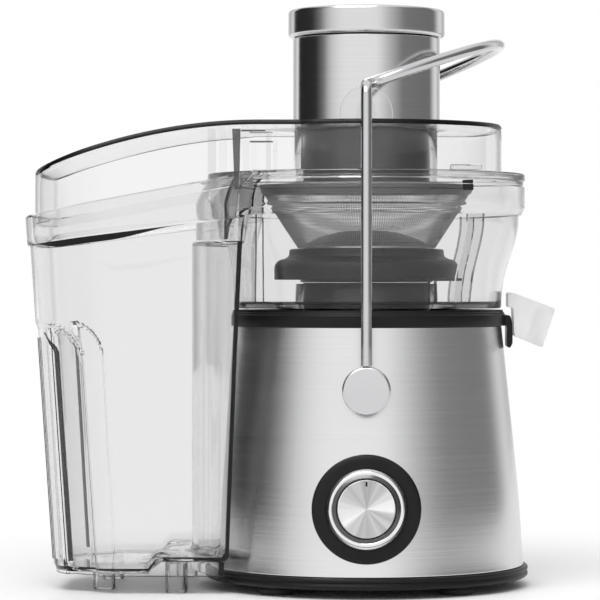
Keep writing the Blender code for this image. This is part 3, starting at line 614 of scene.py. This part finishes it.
def make_spout():
    spout = Place("juice_spout")
    left, right = spout.low.x - AXIS_X, spout.high.x - AXIS_X
    outline = [(left, spout.top), (left + 3.2, spout.top - 0.5), (right, spout.top - 9.5), (right - 7.3, spout.foot),
               (left + 3.4, spout.foot + 6.5), (left + 2.9, spout.foot + 22.8), (left, spout.foot + 22.8)]
    body = slab(softened(outline, 1.6), -15, 15)
    whole = piece("spout", body, FROSTED, "base", "frosted_plastic", ["juice_spout"])
    hollow = [(right + 3, spout.top - 13), (right - 4, spout.foot), (right - 14, spout.foot + 5),
              (right - 10, spout.top - 10)]
    carve(whole, slab(hollow, -12.8, 12.8))
    rounded_edges(whole, 0.9, 3)


def carve(obj, cage):
    """Cuts a cage out of a finished piece and keeps the result as its mesh."""
    cage.transform(Matrix.Scale(MM, 4))
    bmesh.ops.recalc_face_normals(cage, faces=cage.faces)
    mesh = bpy.data.meshes.new("cutter")
    cage.to_mesh(mesh)
    cage.free()
    cutter = bpy.data.objects.new("cutter", mesh)
    bpy.context.scene.collection.objects.link(cutter)
    cutter.matrix_world = obj.matrix_world
    boolean = obj.modifiers.new("Cut", "BOOLEAN")
    boolean.object = cutter
    bpy.context.view_layer.update()
    result = bpy.data.meshes.new_from_object(obj.evaluated_get(bpy.context.evaluated_depsgraph_get()))
    obj.modifiers.remove(boolean)
    obj.data = result
    result.set_sharp_from_angle(angle=SHARP)
    bpy.data.objects.remove(cutter)


# ------------------------------------------------------------------ sieve
SIEVE_ROWS, SIEVE_COLUMNS = 42, 240
GRATER_TEETH = 48


def make_sieve():
    """Perforated cone of wires round and up, its rim, the black hub and the dome over its middle."""
    low, high = box("sieve_mesh")
    top_radius = (high.y - low.y) / 2
    foot_radius = box("grater_disc")[1].y + 1.4
    rings = []
    for row in range(SIEVE_ROWS + 1):
        share = row / SIEVE_ROWS
        radius = foot_radius + share * (top_radius - foot_radius) - 0.3
        height = low.z + 0.3 + share * (high.z - low.z - 0.6)
        rings.append([(x, y, height) for x, y in arc(0.0, 0.0, radius, 0.0, 360.0, SIEVE_COLUMNS)[:-1]])
    sieve = piece("sieve_screen", stacked(rings, capped=False), INNER_STEEL, "spinner", "brushed_steel",
                  ["sieve_mesh"])
    wires = sieve.modifiers.new("Wires", "WIREFRAME")
    wires.thickness = 0.42 * MM
    wires.use_even_offset = False
    rim = [(0.0, 3.7), (0.0, 2.2), (0.5, 1.6), (0.0, 1.0), (0.0, 0.0), (3.1, 0.0), (3.1, 3.7)]
    turned("sieve_rim_ring", "sieve_rim", rim, RIM_GREY, "spinner", "grey_plastic", 0.4)
    band = [(59.7, 222.4), (61.2, 224.9), (60.2, 224.9), (58.7, 222.4)]
    piece("sieve_band", spun(band), RIM_GREY, "spinner", "grey_plastic")
    hub = [(ON_AXIS, 17.9), (9.9, 17.9), (8.6, 17.3), (8.5, 14.6), (8.0, 13.4)]
    hub += [(5.6 - rise, 6.6 + reach * 5.4 / 5.6) for reach, rise in arc(0.0, 0.0, 5.6, 0, 90, 6)]
    hub += [(0.0, 0.0), (2.6, 0.0), (2.6, 10.0), (15.0, 10.0), (15.0, -1.4), (17.0, -1.4), (17.0, 10.0),
            (35.0, 10.0), (35.0, 0.0), (37.4, 0.0), (37.4, 10.4), (ON_AXIS, 10.4)]
    turned("sieve_hub_ring", "sieve_hub", hub, HUB_BLACK, "spinner", "black_plastic", 0.5)
    dome = [(ON_AXIS, 8.8)] + smooth_line([(26, 8.3), (17, 7.0), (8, 4.3), (2, 1.7), (0, 0)], 5) + [(ON_AXIS, 0)]
    turned("sieve_dome_cap", "sieve_dome", dome, HUB_BLACK, "spinner", "grey_plastic", 0.3)


def make_grater():
    """Grater disc with a ring of small raised teeth between the dome and the screen."""
    disc = Place("grater_disc")
    plate = spun(disc.profile([(0.0, 1.2), (0.0, 0.0), (33.2, 0.0), (33.2, 1.2)]))
    seat = Matrix.Translation((disc.radius - 1.8, 0.0, disc.foot + 1.2))
    teeth = [moved(slab([(-1.1, 0.0), (1.1, 0.0), (0.5, 0.4)], -0.35, 0.35),
                   turn(360 * index / GRATER_TEETH) @ seat) for index in range(GRATER_TEETH)]
    piece("grater_plate", merged(plate, *teeth), CHROME, "spinner", "brushed_steel", ["grater_disc"])


# ------------------------------------------------------------------ feed chute
def make_feed():
    sleeve = Place("chute_sleeve")
    height = sleeve.top - sleeve.foot
    outline = [(0.0, height - 0.5), (0.0, 1.4), (0.0, 0.0), (0.9, 0.0), (0.9, height)]
    turned("steel_sleeve", "chute_sleeve", outline, SLEEVE_STEEL, "lid", "brushed_steel", 0.3)
    cap = Place("pusher_cap")
    top = cap.top - cap.foot
    outline = [(ON_AXIS, top - 1.2), (4.2, top - 1.2), (3.0, top - 0.2), (1.6, top), (0.5, top - 0.5),
               (0.0, top - 1.7), (0.0, 1.5), (0.5, 0.6), (1.3, 0.0), (6.9, 0.0), (6.9, 1.9), (ON_AXIS, 1.9)]
    turned("steel_cap", "pusher_cap", outline, CAP_STEEL, "pusher", "brushed_steel", 0.4)
    body = [(0.0, 91.0), (0.0, 3.0), (1.0, 1.0), (4.0, 0.0), (ON_AXIS, 0.0), (ON_AXIS, 2.5), (2.4, 2.5), (2.4, 91.0)]
    turned("pusher_cup", "pusher_body", body, GREY, "pusher", "grey_plastic", 0.6)


# ------------------------------------------------------------------ lid
LID_LOW, LID_HIGH = box("lid")
TRAY_LOW, TRAY_HIGH = box("pulp_container")
LID_RADIUS = LID_HIGH.y
LID_LEFT = LID_LOW.x - AXIS_X
LID_TOP = box("chute_sleeve")[0].z - 0.3
LID_HALF_WIDTH = LID_RADIUS - 10.5
LID_CORNER = 36.0
LID_FOOT_INSIDE = 224.5      # lower ends of the ribs inside the skirt
LID_FALL = 0.00172           # the top falls by this much per millimetre squared
LID_FALL_START = -60.0       # to the left of this, from the motor axis
CHUTE_RADIUS = box("chute_sleeve")[1].y - 1.2
CHUTE_WALL = 3.5
CHUTE_FOOT = box("pusher_body")[0].z
BOWL_TOP = box("juice_bowl")[1].z
MOUTH_SLOPE = 0.188          # the container's mouth rises towards the motor


def lid_plan(inset):
    """The lid's outline seen from above, from the motor axis, anticlockwise from its right end."""
    radius = LID_RADIUS - inset
    half = LID_HALF_WIDTH - inset
    corner = LID_CORNER - inset
    left = LID_LEFT + inset
    meeting = math.degrees(math.pi - math.asin(LID_HALF_WIDTH / LID_RADIUS))
    right = arc(0.0, 0.0, radius, 0.0, meeting, 40)
    start_x = right[-1][0]
    end_x = left + corner
    side = [(start_x + (end_x - start_x) * step / 24, half) for step in range(1, 24)]
    bend = arc(left + corner, half - corner, corner, 90, 180, 18)
    end = [(left, (half - corner) * (1 - step / 8)) for step in range(1, 8)]
    upper = right + side + bend + end
    lower = [(x, -y) for x, y in reversed(upper[1:])]
    return upper + [(left, 0.0)] + lower


def lid_height(x):
    return LID_TOP - LID_FALL * min(0.0, x - LID_FALL_START) ** 2


def mouth_height(x):
    """Height of the container's sloping mouth, from the motor axis."""
    return TRAY_HIGH.z + MOUTH_SLOPE * (x - (TRAY_HIGH.x - AXIS_X))


def lid_foot(x):
    """The skirt stands on the bowl, and hangs a little way inside the container's mouth."""
    share = ramp(x, -68, -64)
    return (1 - share) * (mouth_height(x) - 6) + share * (BOWL_TOP + 0.3)


def lid_ring(inset, height_at, towards_chute=0.0, chute_radius=CHUTE_RADIUS):
    """Ring of the lid: its plan, or part of the way from there to a circle round the chute."""
    ring = []
    for x, y in lid_plan(inset):
        angle = math.atan2(y, x)
        px = x + (chute_radius * math.cos(angle) - x) * towards_chute
        py = y + (chute_radius * math.sin(angle) - y) * towards_chute
        ring.append((px, py, height_at(px)))
    return ring


def circle_rings(radius, foot, points):
    """Rings round the chute, from (growth of the radius, height above the foot)."""
    return [lid_ring(0.0, lambda x, up=up: foot + up, 1.0, radius + growth) for growth, up in points]


def make_lid():
    """Skirt, falling top and feed chute, as one closed wall."""
    to_chute = [step / 12 for step in range(1, 12)]
    brim = CHUTE_RADIUS + 1.4
    outside = [lid_ring(0.4, lid_foot), lid_ring(0.0, raised(lid_foot, 0.4))]
    outside += [lid_ring(0.0, between(lid_foot, raised(lid_height, -2.6), share)) for share in (0.25, 0.5, 0.75, 1.0)]
    outside += [lid_ring(inset, raised(lid_height, -drop)) for inset, drop in ((0.35, 1.3), (1.3, 0.35), (2.6, 0))]
    outside += [lid_ring(2.6, lid_height, share, brim) for share in to_chute]
    tall = LID_HIGH.z - LID_TOP
    deep = LID_HIGH.z - CHUTE_FOOT
    under = LID_TOP - WALL - CHUTE_FOOT
    chute = circle_rings(CHUTE_RADIUS, LID_TOP, (
        (1.2, 0.0), (0.3, 0.2), (0.0, 1.0), (0.0, (tall - 0.8) / 2), (0.0, tall - 0.8), (-0.3, tall - 0.2),
        (-1.0, tall), (-2.5, tall), (-3.2, tall - 0.2), (-3.5, tall - 0.8)))
    chute += circle_rings(CHUTE_RADIUS - CHUTE_WALL, CHUTE_FOOT, (
        (0.0, deep * 0.75), (0.0, deep * 0.5), (0.0, deep * 0.25), (0.0, 0.8), (0.8, 0.0), (2.4, 0.0), (3.3, 0.8),
        (3.3, (under - 1.2) / 2), (3.3, under - 1.2), (3.9, under - 0.2)))
    ceiling = raised(lid_height, -WALL)
    inside = [lid_ring(WALL + 1.5, ceiling, share, brim) for share in reversed(to_chute)]
    inside += [lid_ring(WALL + inset, raised(ceiling, -drop)) for inset, drop in ((1.5, 0), (0.4, 0.4), (0, 1.5))]
    inside += [lid_ring(WALL, between(lid_foot, raised(lid_height, -4), share)) for share in (0.75, 0.5, 0.25)]
    inside += [lid_ring(WALL, raised(lid_foot, 0.4)), lid_ring(WALL - 0.4, lid_foot)]
    piece("clear_lid", stacked(outside + chute + inside, closed=True), CLEAR, "lid", nodes=["lid"])


def make_tabs():
    """Arched tabs that the bail's loop passes, front and rear, and the lug with its catch at the safety switch."""
    arch = [(-14.5, LID_TOP - 1.0), *arc(0.0, LID_TOP + 3.5, 14.5, 180, 0, 28), (14.5, LID_TOP - 1.0)]
    for side, label in SIDES:
        tab = slab(arch, side * 74.5 - 1.3, side * 74.5 + 1.3)
        rounded_edges(piece("bail_tab_" + label, tab, CLEAR, "lid"), 0.5, 3)
    lug = block((46, -61, BOWL_TOP + 0.5), (64, -52, BOWL_TOP + 3.6))
    rounded_edges(piece("safety_lug", lug, CLEAR, "lid"), 0.8, 3)
    catch = block((53.0, -62.0, BOWL_TOP - 11.0), (58.8, -58.0, BOWL_TOP - 4.3))
    rounded_edges(piece("safety_catch", catch, TRIM, "base", "black_plastic"), 0.5)


def make_lid_ribs():
    """Upright ribs inside the skirt, the divider across the lid and the dark line along its upper edge."""
    top = LID_TOP - 5
    for side, label in SIDES:
        inner = side * (LID_HALF_WIDTH - WALL - 0.2)
        low, high = sorted((inner, inner - side * 2.2))
        # The front ribs are drawn in darker clear plastic than the rear ones, as painted shade.
        edge, dark = (EDGE_CLEAR, EDGE_SHADE_CLEAR) if side < 0 else (CLEAR, CLEAR)
        for name, left, right in (("guide_rib_", -87.8, -83.4), ("divider_rib_", -55.6, -53.0)):
            piece(name + label, block((left, low, LID_FOOT_INSIDE), (right, high, top)), edge, "lid")
        taper = [(-74.3, top), (-69.7, top), (-70.4, LID_FOOT_INSIDE), (-73.0, LID_FOOT_INSIDE)]
        piece("stop_rib_" + label, slab(softened(taper, 0.5), low, high), dark, "lid")
        # The divider's shelf is drawn in dark clear plastic, as painted shade.
        shelf = block((-69.4, low, top - 1.5), (-55.9, high, top - 0.5))
        piece("divider_shelf_" + label, shelf, EDGE_SHADE_CLEAR, "lid")
    trim = [lid_ring(inset, raised(lid_height, -drop))
            for inset, drop in ((0.12, 2.3), (0.1, 1.2), (1.0, -0.1), (2.2, -0.12), (2.2, 2.3))]
    piece("lid_edge_trim", stacked(trim, closed=True), TRIM, "lid", "black_plastic")


# ------------------------------------------------------------------ pulp container
BAND_PROUD = 1.6             # the band round the mouth stands out by this much
TRAY_FLOOR = TRAY_LOW.z + 11.0
TRAY_STEP = 6.5              # the floor is this much higher near the motor
TRAY_SKIRT_FOOT = TRAY_LOW.z + 9.2      # lower edge of the skirt under the floor
TRAY_SHOULDER = TRAY_LOW.z + 195.0
TRAY_LEFT_TOP = TRAY_LOW.x - AXIS_X + 2.5
TRAY_LEFT_FOOT = TRAY_LEFT_TOP + 11.5
TRAY_WIDTH_TOP = 70.0
TRAY_WIDTH_FOOT = 61.0
TRAY_CORNER = 40.0
TRAY_HOLLOW = 98.0
LIP_FOOT = 196.0             # top of the wall beside the motor, under the bowl's pulp lip
HORN_THINNING = 1.1          # the wall is thinner by this much at the edges beside the motor
GRIP_TOP = box("steel_shell")[1].z + 2  # upper edge of the hand recesses at the left corners
GRIP_START = 11.5            # they start this far along the rounded corner
GRIP_WIDTH = 24.5
GRIP_DEPTH = 6.0
GRIP_EDGE = 3.0              # width of their sloping edge
GRIP_ROUNDING = 22.0
RIDGE_DEPTH = 1.2            # the ridge between them stands in by this much


def tray_stations():
    """Places round the container's plan, as (side, share along it)."""
    stations = [("hollow", step / 44) for step in range(1, 44)]
    stations += [("back", step / 26) for step in range(26)]
    stations += [("back_corner", step / 48) for step in range(48)]
    stations += [("end", step / 12) for step in range(12)]
    stations += [("front_corner", step / 48) for step in range(48)]
    stations += [("front", step / 26) for step in range(27)]
    return stations


def tray_spot(side, share, height, inset):
    """A point of the container's plan at a height."""
    rise = (height - TRAY_FLOOR) / (TRAY_SHOULDER - TRAY_FLOOR)
    left = TRAY_LEFT_FOOT + rise * (TRAY_LEFT_TOP - TRAY_LEFT_FOOT) + inset
    half = TRAY_WIDTH_FOOT + rise * (TRAY_WIDTH_TOP - TRAY_WIDTH_FOOT) - inset
    corner = TRAY_CORNER - inset
    radius = TRAY_HOLLOW + inset
    horn = -math.sqrt(radius ** 2 - half ** 2)
    if side == "hollow":
        angle = math.pi + math.asin(half / radius) * (1 - 2 * share)
        return radius * math.cos(angle), radius * math.sin(angle)
    if side == "back":
        return horn + (left + corner - horn) * share, half
    if side == "front":
        return left + corner + (horn - left - corner) * share, -half
    if side == "end":
        return left, (half - corner) * (1 - 2 * share)
    angle = math.radians(90 + 90 * share if side == "back_corner" else 180 + 90 * share)
    centre_y = half - corner if side == "back_corner" else corner - half
    return left + corner + corner * math.cos(angle), centre_y + corner * math.sin(angle)


def tray_floor(side, x):
    return TRAY_FLOOR + TRAY_STEP * ramp(x, -122, -116)


def band_foot(x):
    return TRAY_LOW.z + 193.7 + 0.132 * (x + 191)


def tray_mouth(side, x):
    return LIP_FOOT if side == "hollow" else mouth_height(x)


def grip(side, share, height):
    """How far the hand recesses push the wall in at a station of the plan and a height."""
    turned_by = {"back_corner": share, "end": 1.0, "front_corner": 1 - share}.get(side, 0.0)
    along = turned_by * math.pi / 2 * TRAY_CORNER - GRIP_START
    over_side = max(0.0, GRIP_ROUNDING - along)
    over_top = max(0.0, height - (GRIP_TOP - GRIP_ROUNDING))
    inside = ramp(GRIP_ROUNDING - math.hypot(over_side, over_top), 0.0, GRIP_EDGE)
    off_ridge = 1 - ramp(along, GRIP_WIDTH - GRIP_EDGE, GRIP_WIDTH)
    return inside * (GRIP_DEPTH * off_ridge + RIDGE_DEPTH * (1 - off_ridge))


def near_horn(side, share):
    """1 at the two upright edges beside the motor, 0 a little way from them."""
    if side == "hollow":
        return 1 - ramp(min(share, 1 - share), 0.0, 0.12)
    if side == "back":
        return 1 - ramp(share, 0.0, 0.25)
    return ramp(share, 0.75, 1.0) if side == "front" else 0.0


def tray_ring(plan_inset, height_at, inner=False):
    """A ring of the container at a height that may change from place to place."""
    ring = []
    for side, share in tray_stations():
        height = TRAY_SHOULDER
        inset = plan_inset - (HORN_THINNING * near_horn(side, share) if inner else 0.0)
        for _ in range(3):
            x, y = tray_spot(side, share, height, inset)
            height = height_at(side, x)
        x, y = tray_spot(side, share, height, inset + grip(side, share, height))
        ring.append((x, y, height))
    return ring


def make_container():
    """Clear tub: hollow towards the motor, band round the mouth, grip at the left end, stepped floor."""
    def below_band(side, x):
        return min(band_foot(x) - 0.9, tray_mouth(side, x) - 2)

    def above_band(side, x):
        return min(band_foot(x) + 0.7, tray_mouth(side, x) - 1.2)

    near_mouth = raised(tray_mouth, -0.8)
    above_floor = raised(tray_floor, 3.5)
    inner_floor = raised(tray_floor, WALL)
    inner_rise = raised(inner_floor, 3.5)
    rings = [tray_ring(inset, tray_floor) for inset in (32, 26, 20, 14, 9, 5, 3.2)]
    rings += [tray_ring(0.9, between(tray_floor, above_floor, 0.28))]
    rings += [tray_ring(0.0, between(above_floor, below_band, step / 96)) for step in range(97)]
    rings += [tray_ring(-BAND_PROUD * 0.7, between(below_band, above_band, 0.35)), tray_ring(-BAND_PROUD, above_band)]
    rings += [tray_ring(-BAND_PROUD, between(above_band, near_mouth, step / 4)) for step in range(1, 5)]
    rings += [tray_ring(-BAND_PROUD + 0.7, tray_mouth), tray_ring(WALL - 0.7, tray_mouth)]
    rings += [tray_ring(WALL, between(near_mouth, inner_rise, step / 110), True) for step in range(111)]
    rings += [tray_ring(WALL + 0.9, between(inner_floor, inner_rise, 0.28), True)]
    rings += [tray_ring(WALL + inset, inner_floor, True) for inset in (3.2, 5, 9, 14, 20, 26, 30)]
    piece("clear_container", stacked(rings), TRAY_CLEAR, "container", nodes=["pulp_container"])
    for index, (x, y) in enumerate(((-148, 30), (-148, -30), (-106, 50), (-106, -50))):
        make_tray_foot(index, x, y)


def corner_share(along):
    """Share of the front corner that lies at a length along it from the front wall."""
    return 1 - along / (math.pi / 2 * TRAY_CORNER)


def on_wall(along, height, proud, side="front_corner"):
    """A point of the corner's outer wall, standing out of it a little."""
    share = corner_share(along) if side == "front_corner" else 1 - corner_share(along)
    return (*tray_spot(side, share, height, grip(side, share, height) - proud), height)


def grip_strip(name, left_at, right_at, foot, top, finish, side):
    """A thin strip on the outside of a recess, between two lines given as lengths along the corner."""
    rings = []
    for step in range(81):
        height = foot + (top - foot) * step / 80
        spots = [right_at(height) + (left_at(height) - right_at(height)) * i / 12 for i in range(13)]
        outer = [on_wall(spot, height, 0.7, side) for spot in spots]
        inner = [on_wall(spot, height, 0.25, side) for spot in reversed(spots)]
        rings.append(outer + inner)
    piece(name, stacked(rings), finish, "container")


def rounding(height, top, radius):
    """How far a line that bends over at its top has moved aside at a height."""
    over = min(radius, max(0.0, height - (top - radius)))
    return radius - math.sqrt(radius ** 2 - over ** 2)


def make_grip_panels():
    """Painted shade: a tinted strip over the front recess's ground, and dark strips along the ridge between the two
    recesses.
    """
    foot = TRAY_FLOOR + 6
    start = GRIP_START + GRIP_EDGE
    end = GRIP_START + GRIP_WIDTH - GRIP_EDGE
    top = GRIP_TOP - GRIP_EDGE
    radius = GRIP_ROUNDING - GRIP_EDGE
    # The tinted strip over the front recess's ground is painted shade.
    grip_strip("grip_recess_shade", lambda z: end + 0.1, lambda z: min(end, start + rounding(z, top, radius)), foot,
               top - 1.5, RECESS_SHADE_CLEAR, "front_corner")
    for side, label in (("front_corner", "front"), ("back_corner", "rear")):
        # Dark strips along the ridge and the recess's edge, front and rear: painted shade.
        grip_strip("grip_edge_shade_" + label, lambda z: end + 1.5 + rounding(z, top, 14),
                   lambda z: end + 0.4 + rounding(z, top, 14), foot, top - 2, LINE_SHADE_CLEAR, side)
        grip_strip("ridge_shade_" + label, lambda z: 60, lambda z: 55, foot, top - 5, LINE_SHADE_CLEAR, side)


def make_band_fillet():
    """Dark tapering strip under the band, at the front: painted shadow under the band's ledge."""
    stations = [("front_corner", step / 24) for step in range(6, 24)] + [("front", step / 24) for step in range(15)]
    rings = []
    for side, share in stations:
        x = tray_spot(side, share, TRAY_SHOULDER, 0.0)[0]
        top = band_foot(x) - 0.3
        depth = 0.2 + 3.4 * ramp(x, -186, -168) * (1 - ramp(x, -142, -104))
        rings.append([(*tray_spot(side, share, top, -proud), top - drop * depth)
                      for proud, drop in ((1.3, 0.0), (0.15, 0.0), (0.15, 1.0), (0.5, 1.0), (1.2, 0.3))])
    piece("band_shade_strip", stacked(rings), TRIM, "container", "black_plastic")


def make_tray_skirt():
    """Low wall hanging from the floor all round, with a level lower edge, and a dark strip of painted shade along
    that edge.
    """
    def foot(side, x):
        return TRAY_SKIRT_FOOT

    for name, finish, low_at, high_at, outer, inner in (
            ("container_skirt", TRAY_CLEAR, raised(foot, 0.9), raised(tray_floor, 0.4), 1.2, 2.8),
            # The dark edge strip is painted shade along the skirt's lower edge.
            ("container_edge", EDGE_SHADE_CLEAR, raised(foot, 0.4), raised(foot, 0.9), 1.1, 1.6)):
        rings = [tray_ring(inset, height_at) for inset, height_at in (
            (outer, high_at), (outer, low_at), (inner, low_at), (inner, high_at))]
        piece(name, stacked(rings, closed=True), finish, "container")


def rounded_square(x, y, half_x, half_y, height):
    """A square with rounded corners, as a ring of points."""
    ring = []
    for step in range(32):
        angle = 2 * math.pi * (step + 0.5) / 32
        c, s = math.cos(angle), math.sin(angle)
        scale = (abs(c) ** 5 + abs(s) ** 5) ** -0.2
        ring.append((x + half_x * scale * c, y + half_y * scale * s, height))
    return ring


def make_tray_foot(index, x, y):
    """Hollow square foot, open below."""
    top = tray_floor("end", x) + 0.2
    steps = ((4.6, top - 1.6), (4.6, 0.5), (5.0, 0.0), (5.8, 0.0), (6.2, 0.5), (6.2, top))
    rings = [rounded_square(x, y, half, half - 1.2, height) for half, height in steps]
    piece("container_foot_%d" % (index + 1), stacked(rings), EDGE_CLEAR, "container")


# ------------------------------------------------------------------ pieces kept from the frame
def numbered(name):
    return [name + str(index) for index in range(1, 5)]


KEPT = {
    BLACK: ("bail_bush_front", "bail_bush_rear", "cord_gland"),
    GREY: ("upper_motor_bracket", "lower_motor_bracket", "rotary_switch", "interlock_switch", "interlock_cam",
           "drive_coupling", "fan_hub"),
    BEARING_STEEL: ("upper_bearing", "lower_bearing", "motor_shaft", "knob_shaft", "interlock_plunger",
                    "bail_pin_front", "bail_pin_rear", *numbered("foot_screw_")),
    COPPER: ("upper_field_coil", "lower_field_coil", "rotor_windings", "commutator"),
    IRON: ("stator_core", "rotor_core"),
    CARBON: ("carbon_brush_left", "carbon_brush_right"),
    RUBBER: numbered("motor_mount_"),
    BOARD: ("control_board",),
}


def finish_kept_nodes():
    for material, nodes in KEPT.items():
        for node in nodes:
            obj = frame["nodes"][node]
            for index in range(len(obj.material_slots)):
                obj.material_slots[index].material = material


# ------------------------------------------------------------------ floor, light and camera
CAMERA_DISTANCE = 1.725      # metres, from the motor axis
CAMERA_HEIGHT = 0.171
CAMERA_LENS = 180.0          # on a 36 mm sensor
CAMERA_SHIFT = (-0.1108, -0.0233)


def make_floor():
    """Pale floor that turns to even white away from the object."""
    bpy.ops.mesh.primitive_plane_add(size=8.0, location=(0, 0, -0.0002))
    floor = bpy.context.object
    floor.name = "floor"
    finish = Finish("pale_floor", (0.9, 0.9, 0.9), 0.55)
    reach = finish.add("ShaderNodeVectorMath", {0: finish.place()}, "Value", operation="LENGTH")
    fade = finish.spread(reach, 0.0, 1.0, 0.28, 0.14)
    glow = finish.add("ShaderNodeEmission", {"Strength": 1.0})
    pale = finish.shader.outputs["BSDF"]
    finish.output("Surface", finish.add("ShaderNodeMixShader", {"Fac": fade, 1: pale, 2: glow}))
    floor.data.materials.append(finish.material)


# Brightness of the room by bearing in degrees: 0 is behind the camera, positive to the right.
ROOM_TONES = ((-180, 1.0), (-170, 1.0), (-160, 0.6), (-148, 0.6), (-140, 1.0), (-136, 1.0), (-131, 0.02), (-86, 0.03),
              (-77, 0.13), (-70, 0.24), (-63, 0.55), (-56, 0.78), (-46, 0.95), (-34, 1.06), (16, 1.06), (36, 0.62),
              (58, 0.24), (118, 0.20), (130, 0.8), (140, 1.0), (148, 0.6), (160, 0.6), (170, 1.0), (180, 1.0))


def make_world():
    """White room with a black card at the left of the camera and a grey one at the right."""
    world = bpy.data.worlds.new("studio")
    bpy.context.scene.world = world
    world.use_nodes = True
    add = functools.partial(add_node, world.node_tree)
    towards = add("ShaderNodeSeparateXYZ", {"Vector": add("ShaderNodeTexCoord", output="Generated")}).node.outputs
    ahead = add("ShaderNodeMath", {0: towards["Y"], 1: -1.0}, operation="MULTIPLY")
    bearing = add("ShaderNodeMath", {0: towards["X"], 1: ahead}, operation="ARCTAN2")
    share = add("ShaderNodeMapRange", {"Value": bearing, "From Min": -math.pi, "From Max": math.pi})
    cards = add("ShaderNodeValToRGB", {"Fac": share})
    points = cards.node.color_ramp.elements
    for degrees, _ in ROOM_TONES[1:-1]:
        points.new((degrees + 180) / 360)
    for point, (_, tone) in zip(points, ROOM_TONES):
        point.color = (tone, tone, tone, 1.0)
    above = add("ShaderNodeMapRange", {"Value": towards["Z"], "From Min": 0.55, "From Max": 0.8})
    seen = add("ShaderNodeLightPath", output="Is Camera Ray")
    plain = add("ShaderNodeMath", {0: above, 1: seen}, operation="MAXIMUM")
    room = {"Factor": plain, "A": cards, "B": (1.0, 1.0, 1.0, 1.0)}
    back = world.node_tree.nodes["Background"].inputs
    feed(world.node_tree, back["Color"], add("ShaderNodeMix", room, "Result", data_type="RGBA"))
    back["Strength"].default_value = 1.0


def make_light():
    light = bpy.data.lights.new("top_softbox", "AREA")
    light.shape = "RECTANGLE"
    light.size = 0.9
    light.size_y = 0.6
    light.energy = 9.0
    lamp = bpy.data.objects.new("top_softbox", light)
    lamp.location = (-0.25, -0.7, 1.1)
    lamp.rotation_euler = (Vector((0, 0, 0.15)) - lamp.location).to_track_quat("-Z", "Y").to_euler()
    lamp.visible_camera = False
    bpy.context.scene.collection.objects.link(lamp)


def make_camera():
    camera = bpy.data.cameras.new("camera")
    camera.lens = CAMERA_LENS
    camera.sensor_width = 36.0
    camera.shift_x, camera.shift_y = CAMERA_SHIFT
    camera.clip_end = 20.0
    view = bpy.data.objects.new("camera", camera)
    view.location = (AXIS_X * MM, -CAMERA_DISTANCE, CAMERA_HEIGHT)
    view.rotation_euler = (math.pi / 2, 0.0, 0.0)
    bpy.context.scene.collection.objects.link(view)
    bpy.context.scene.camera = view
    bpy.context.scene.view_settings.view_transform = "Standard"
    bpy.context.scene.cycles.transmission_bounces = 24
    bpy.context.scene.cycles.max_bounces = 28


make_camera()
make_world()
make_light()
make_floor()
make_shell()
make_pan()
make_feet()
make_deck()
make_dial()
make_bail()
make_bowl()
make_bowl_fins()
make_spout()
make_sieve()
make_grater()
make_feed()
make_lid()
make_tabs()
make_lid_ribs()
make_container()
make_grip_panels()
make_band_fillet()
make_tray_skirt()
finish_kept_nodes()
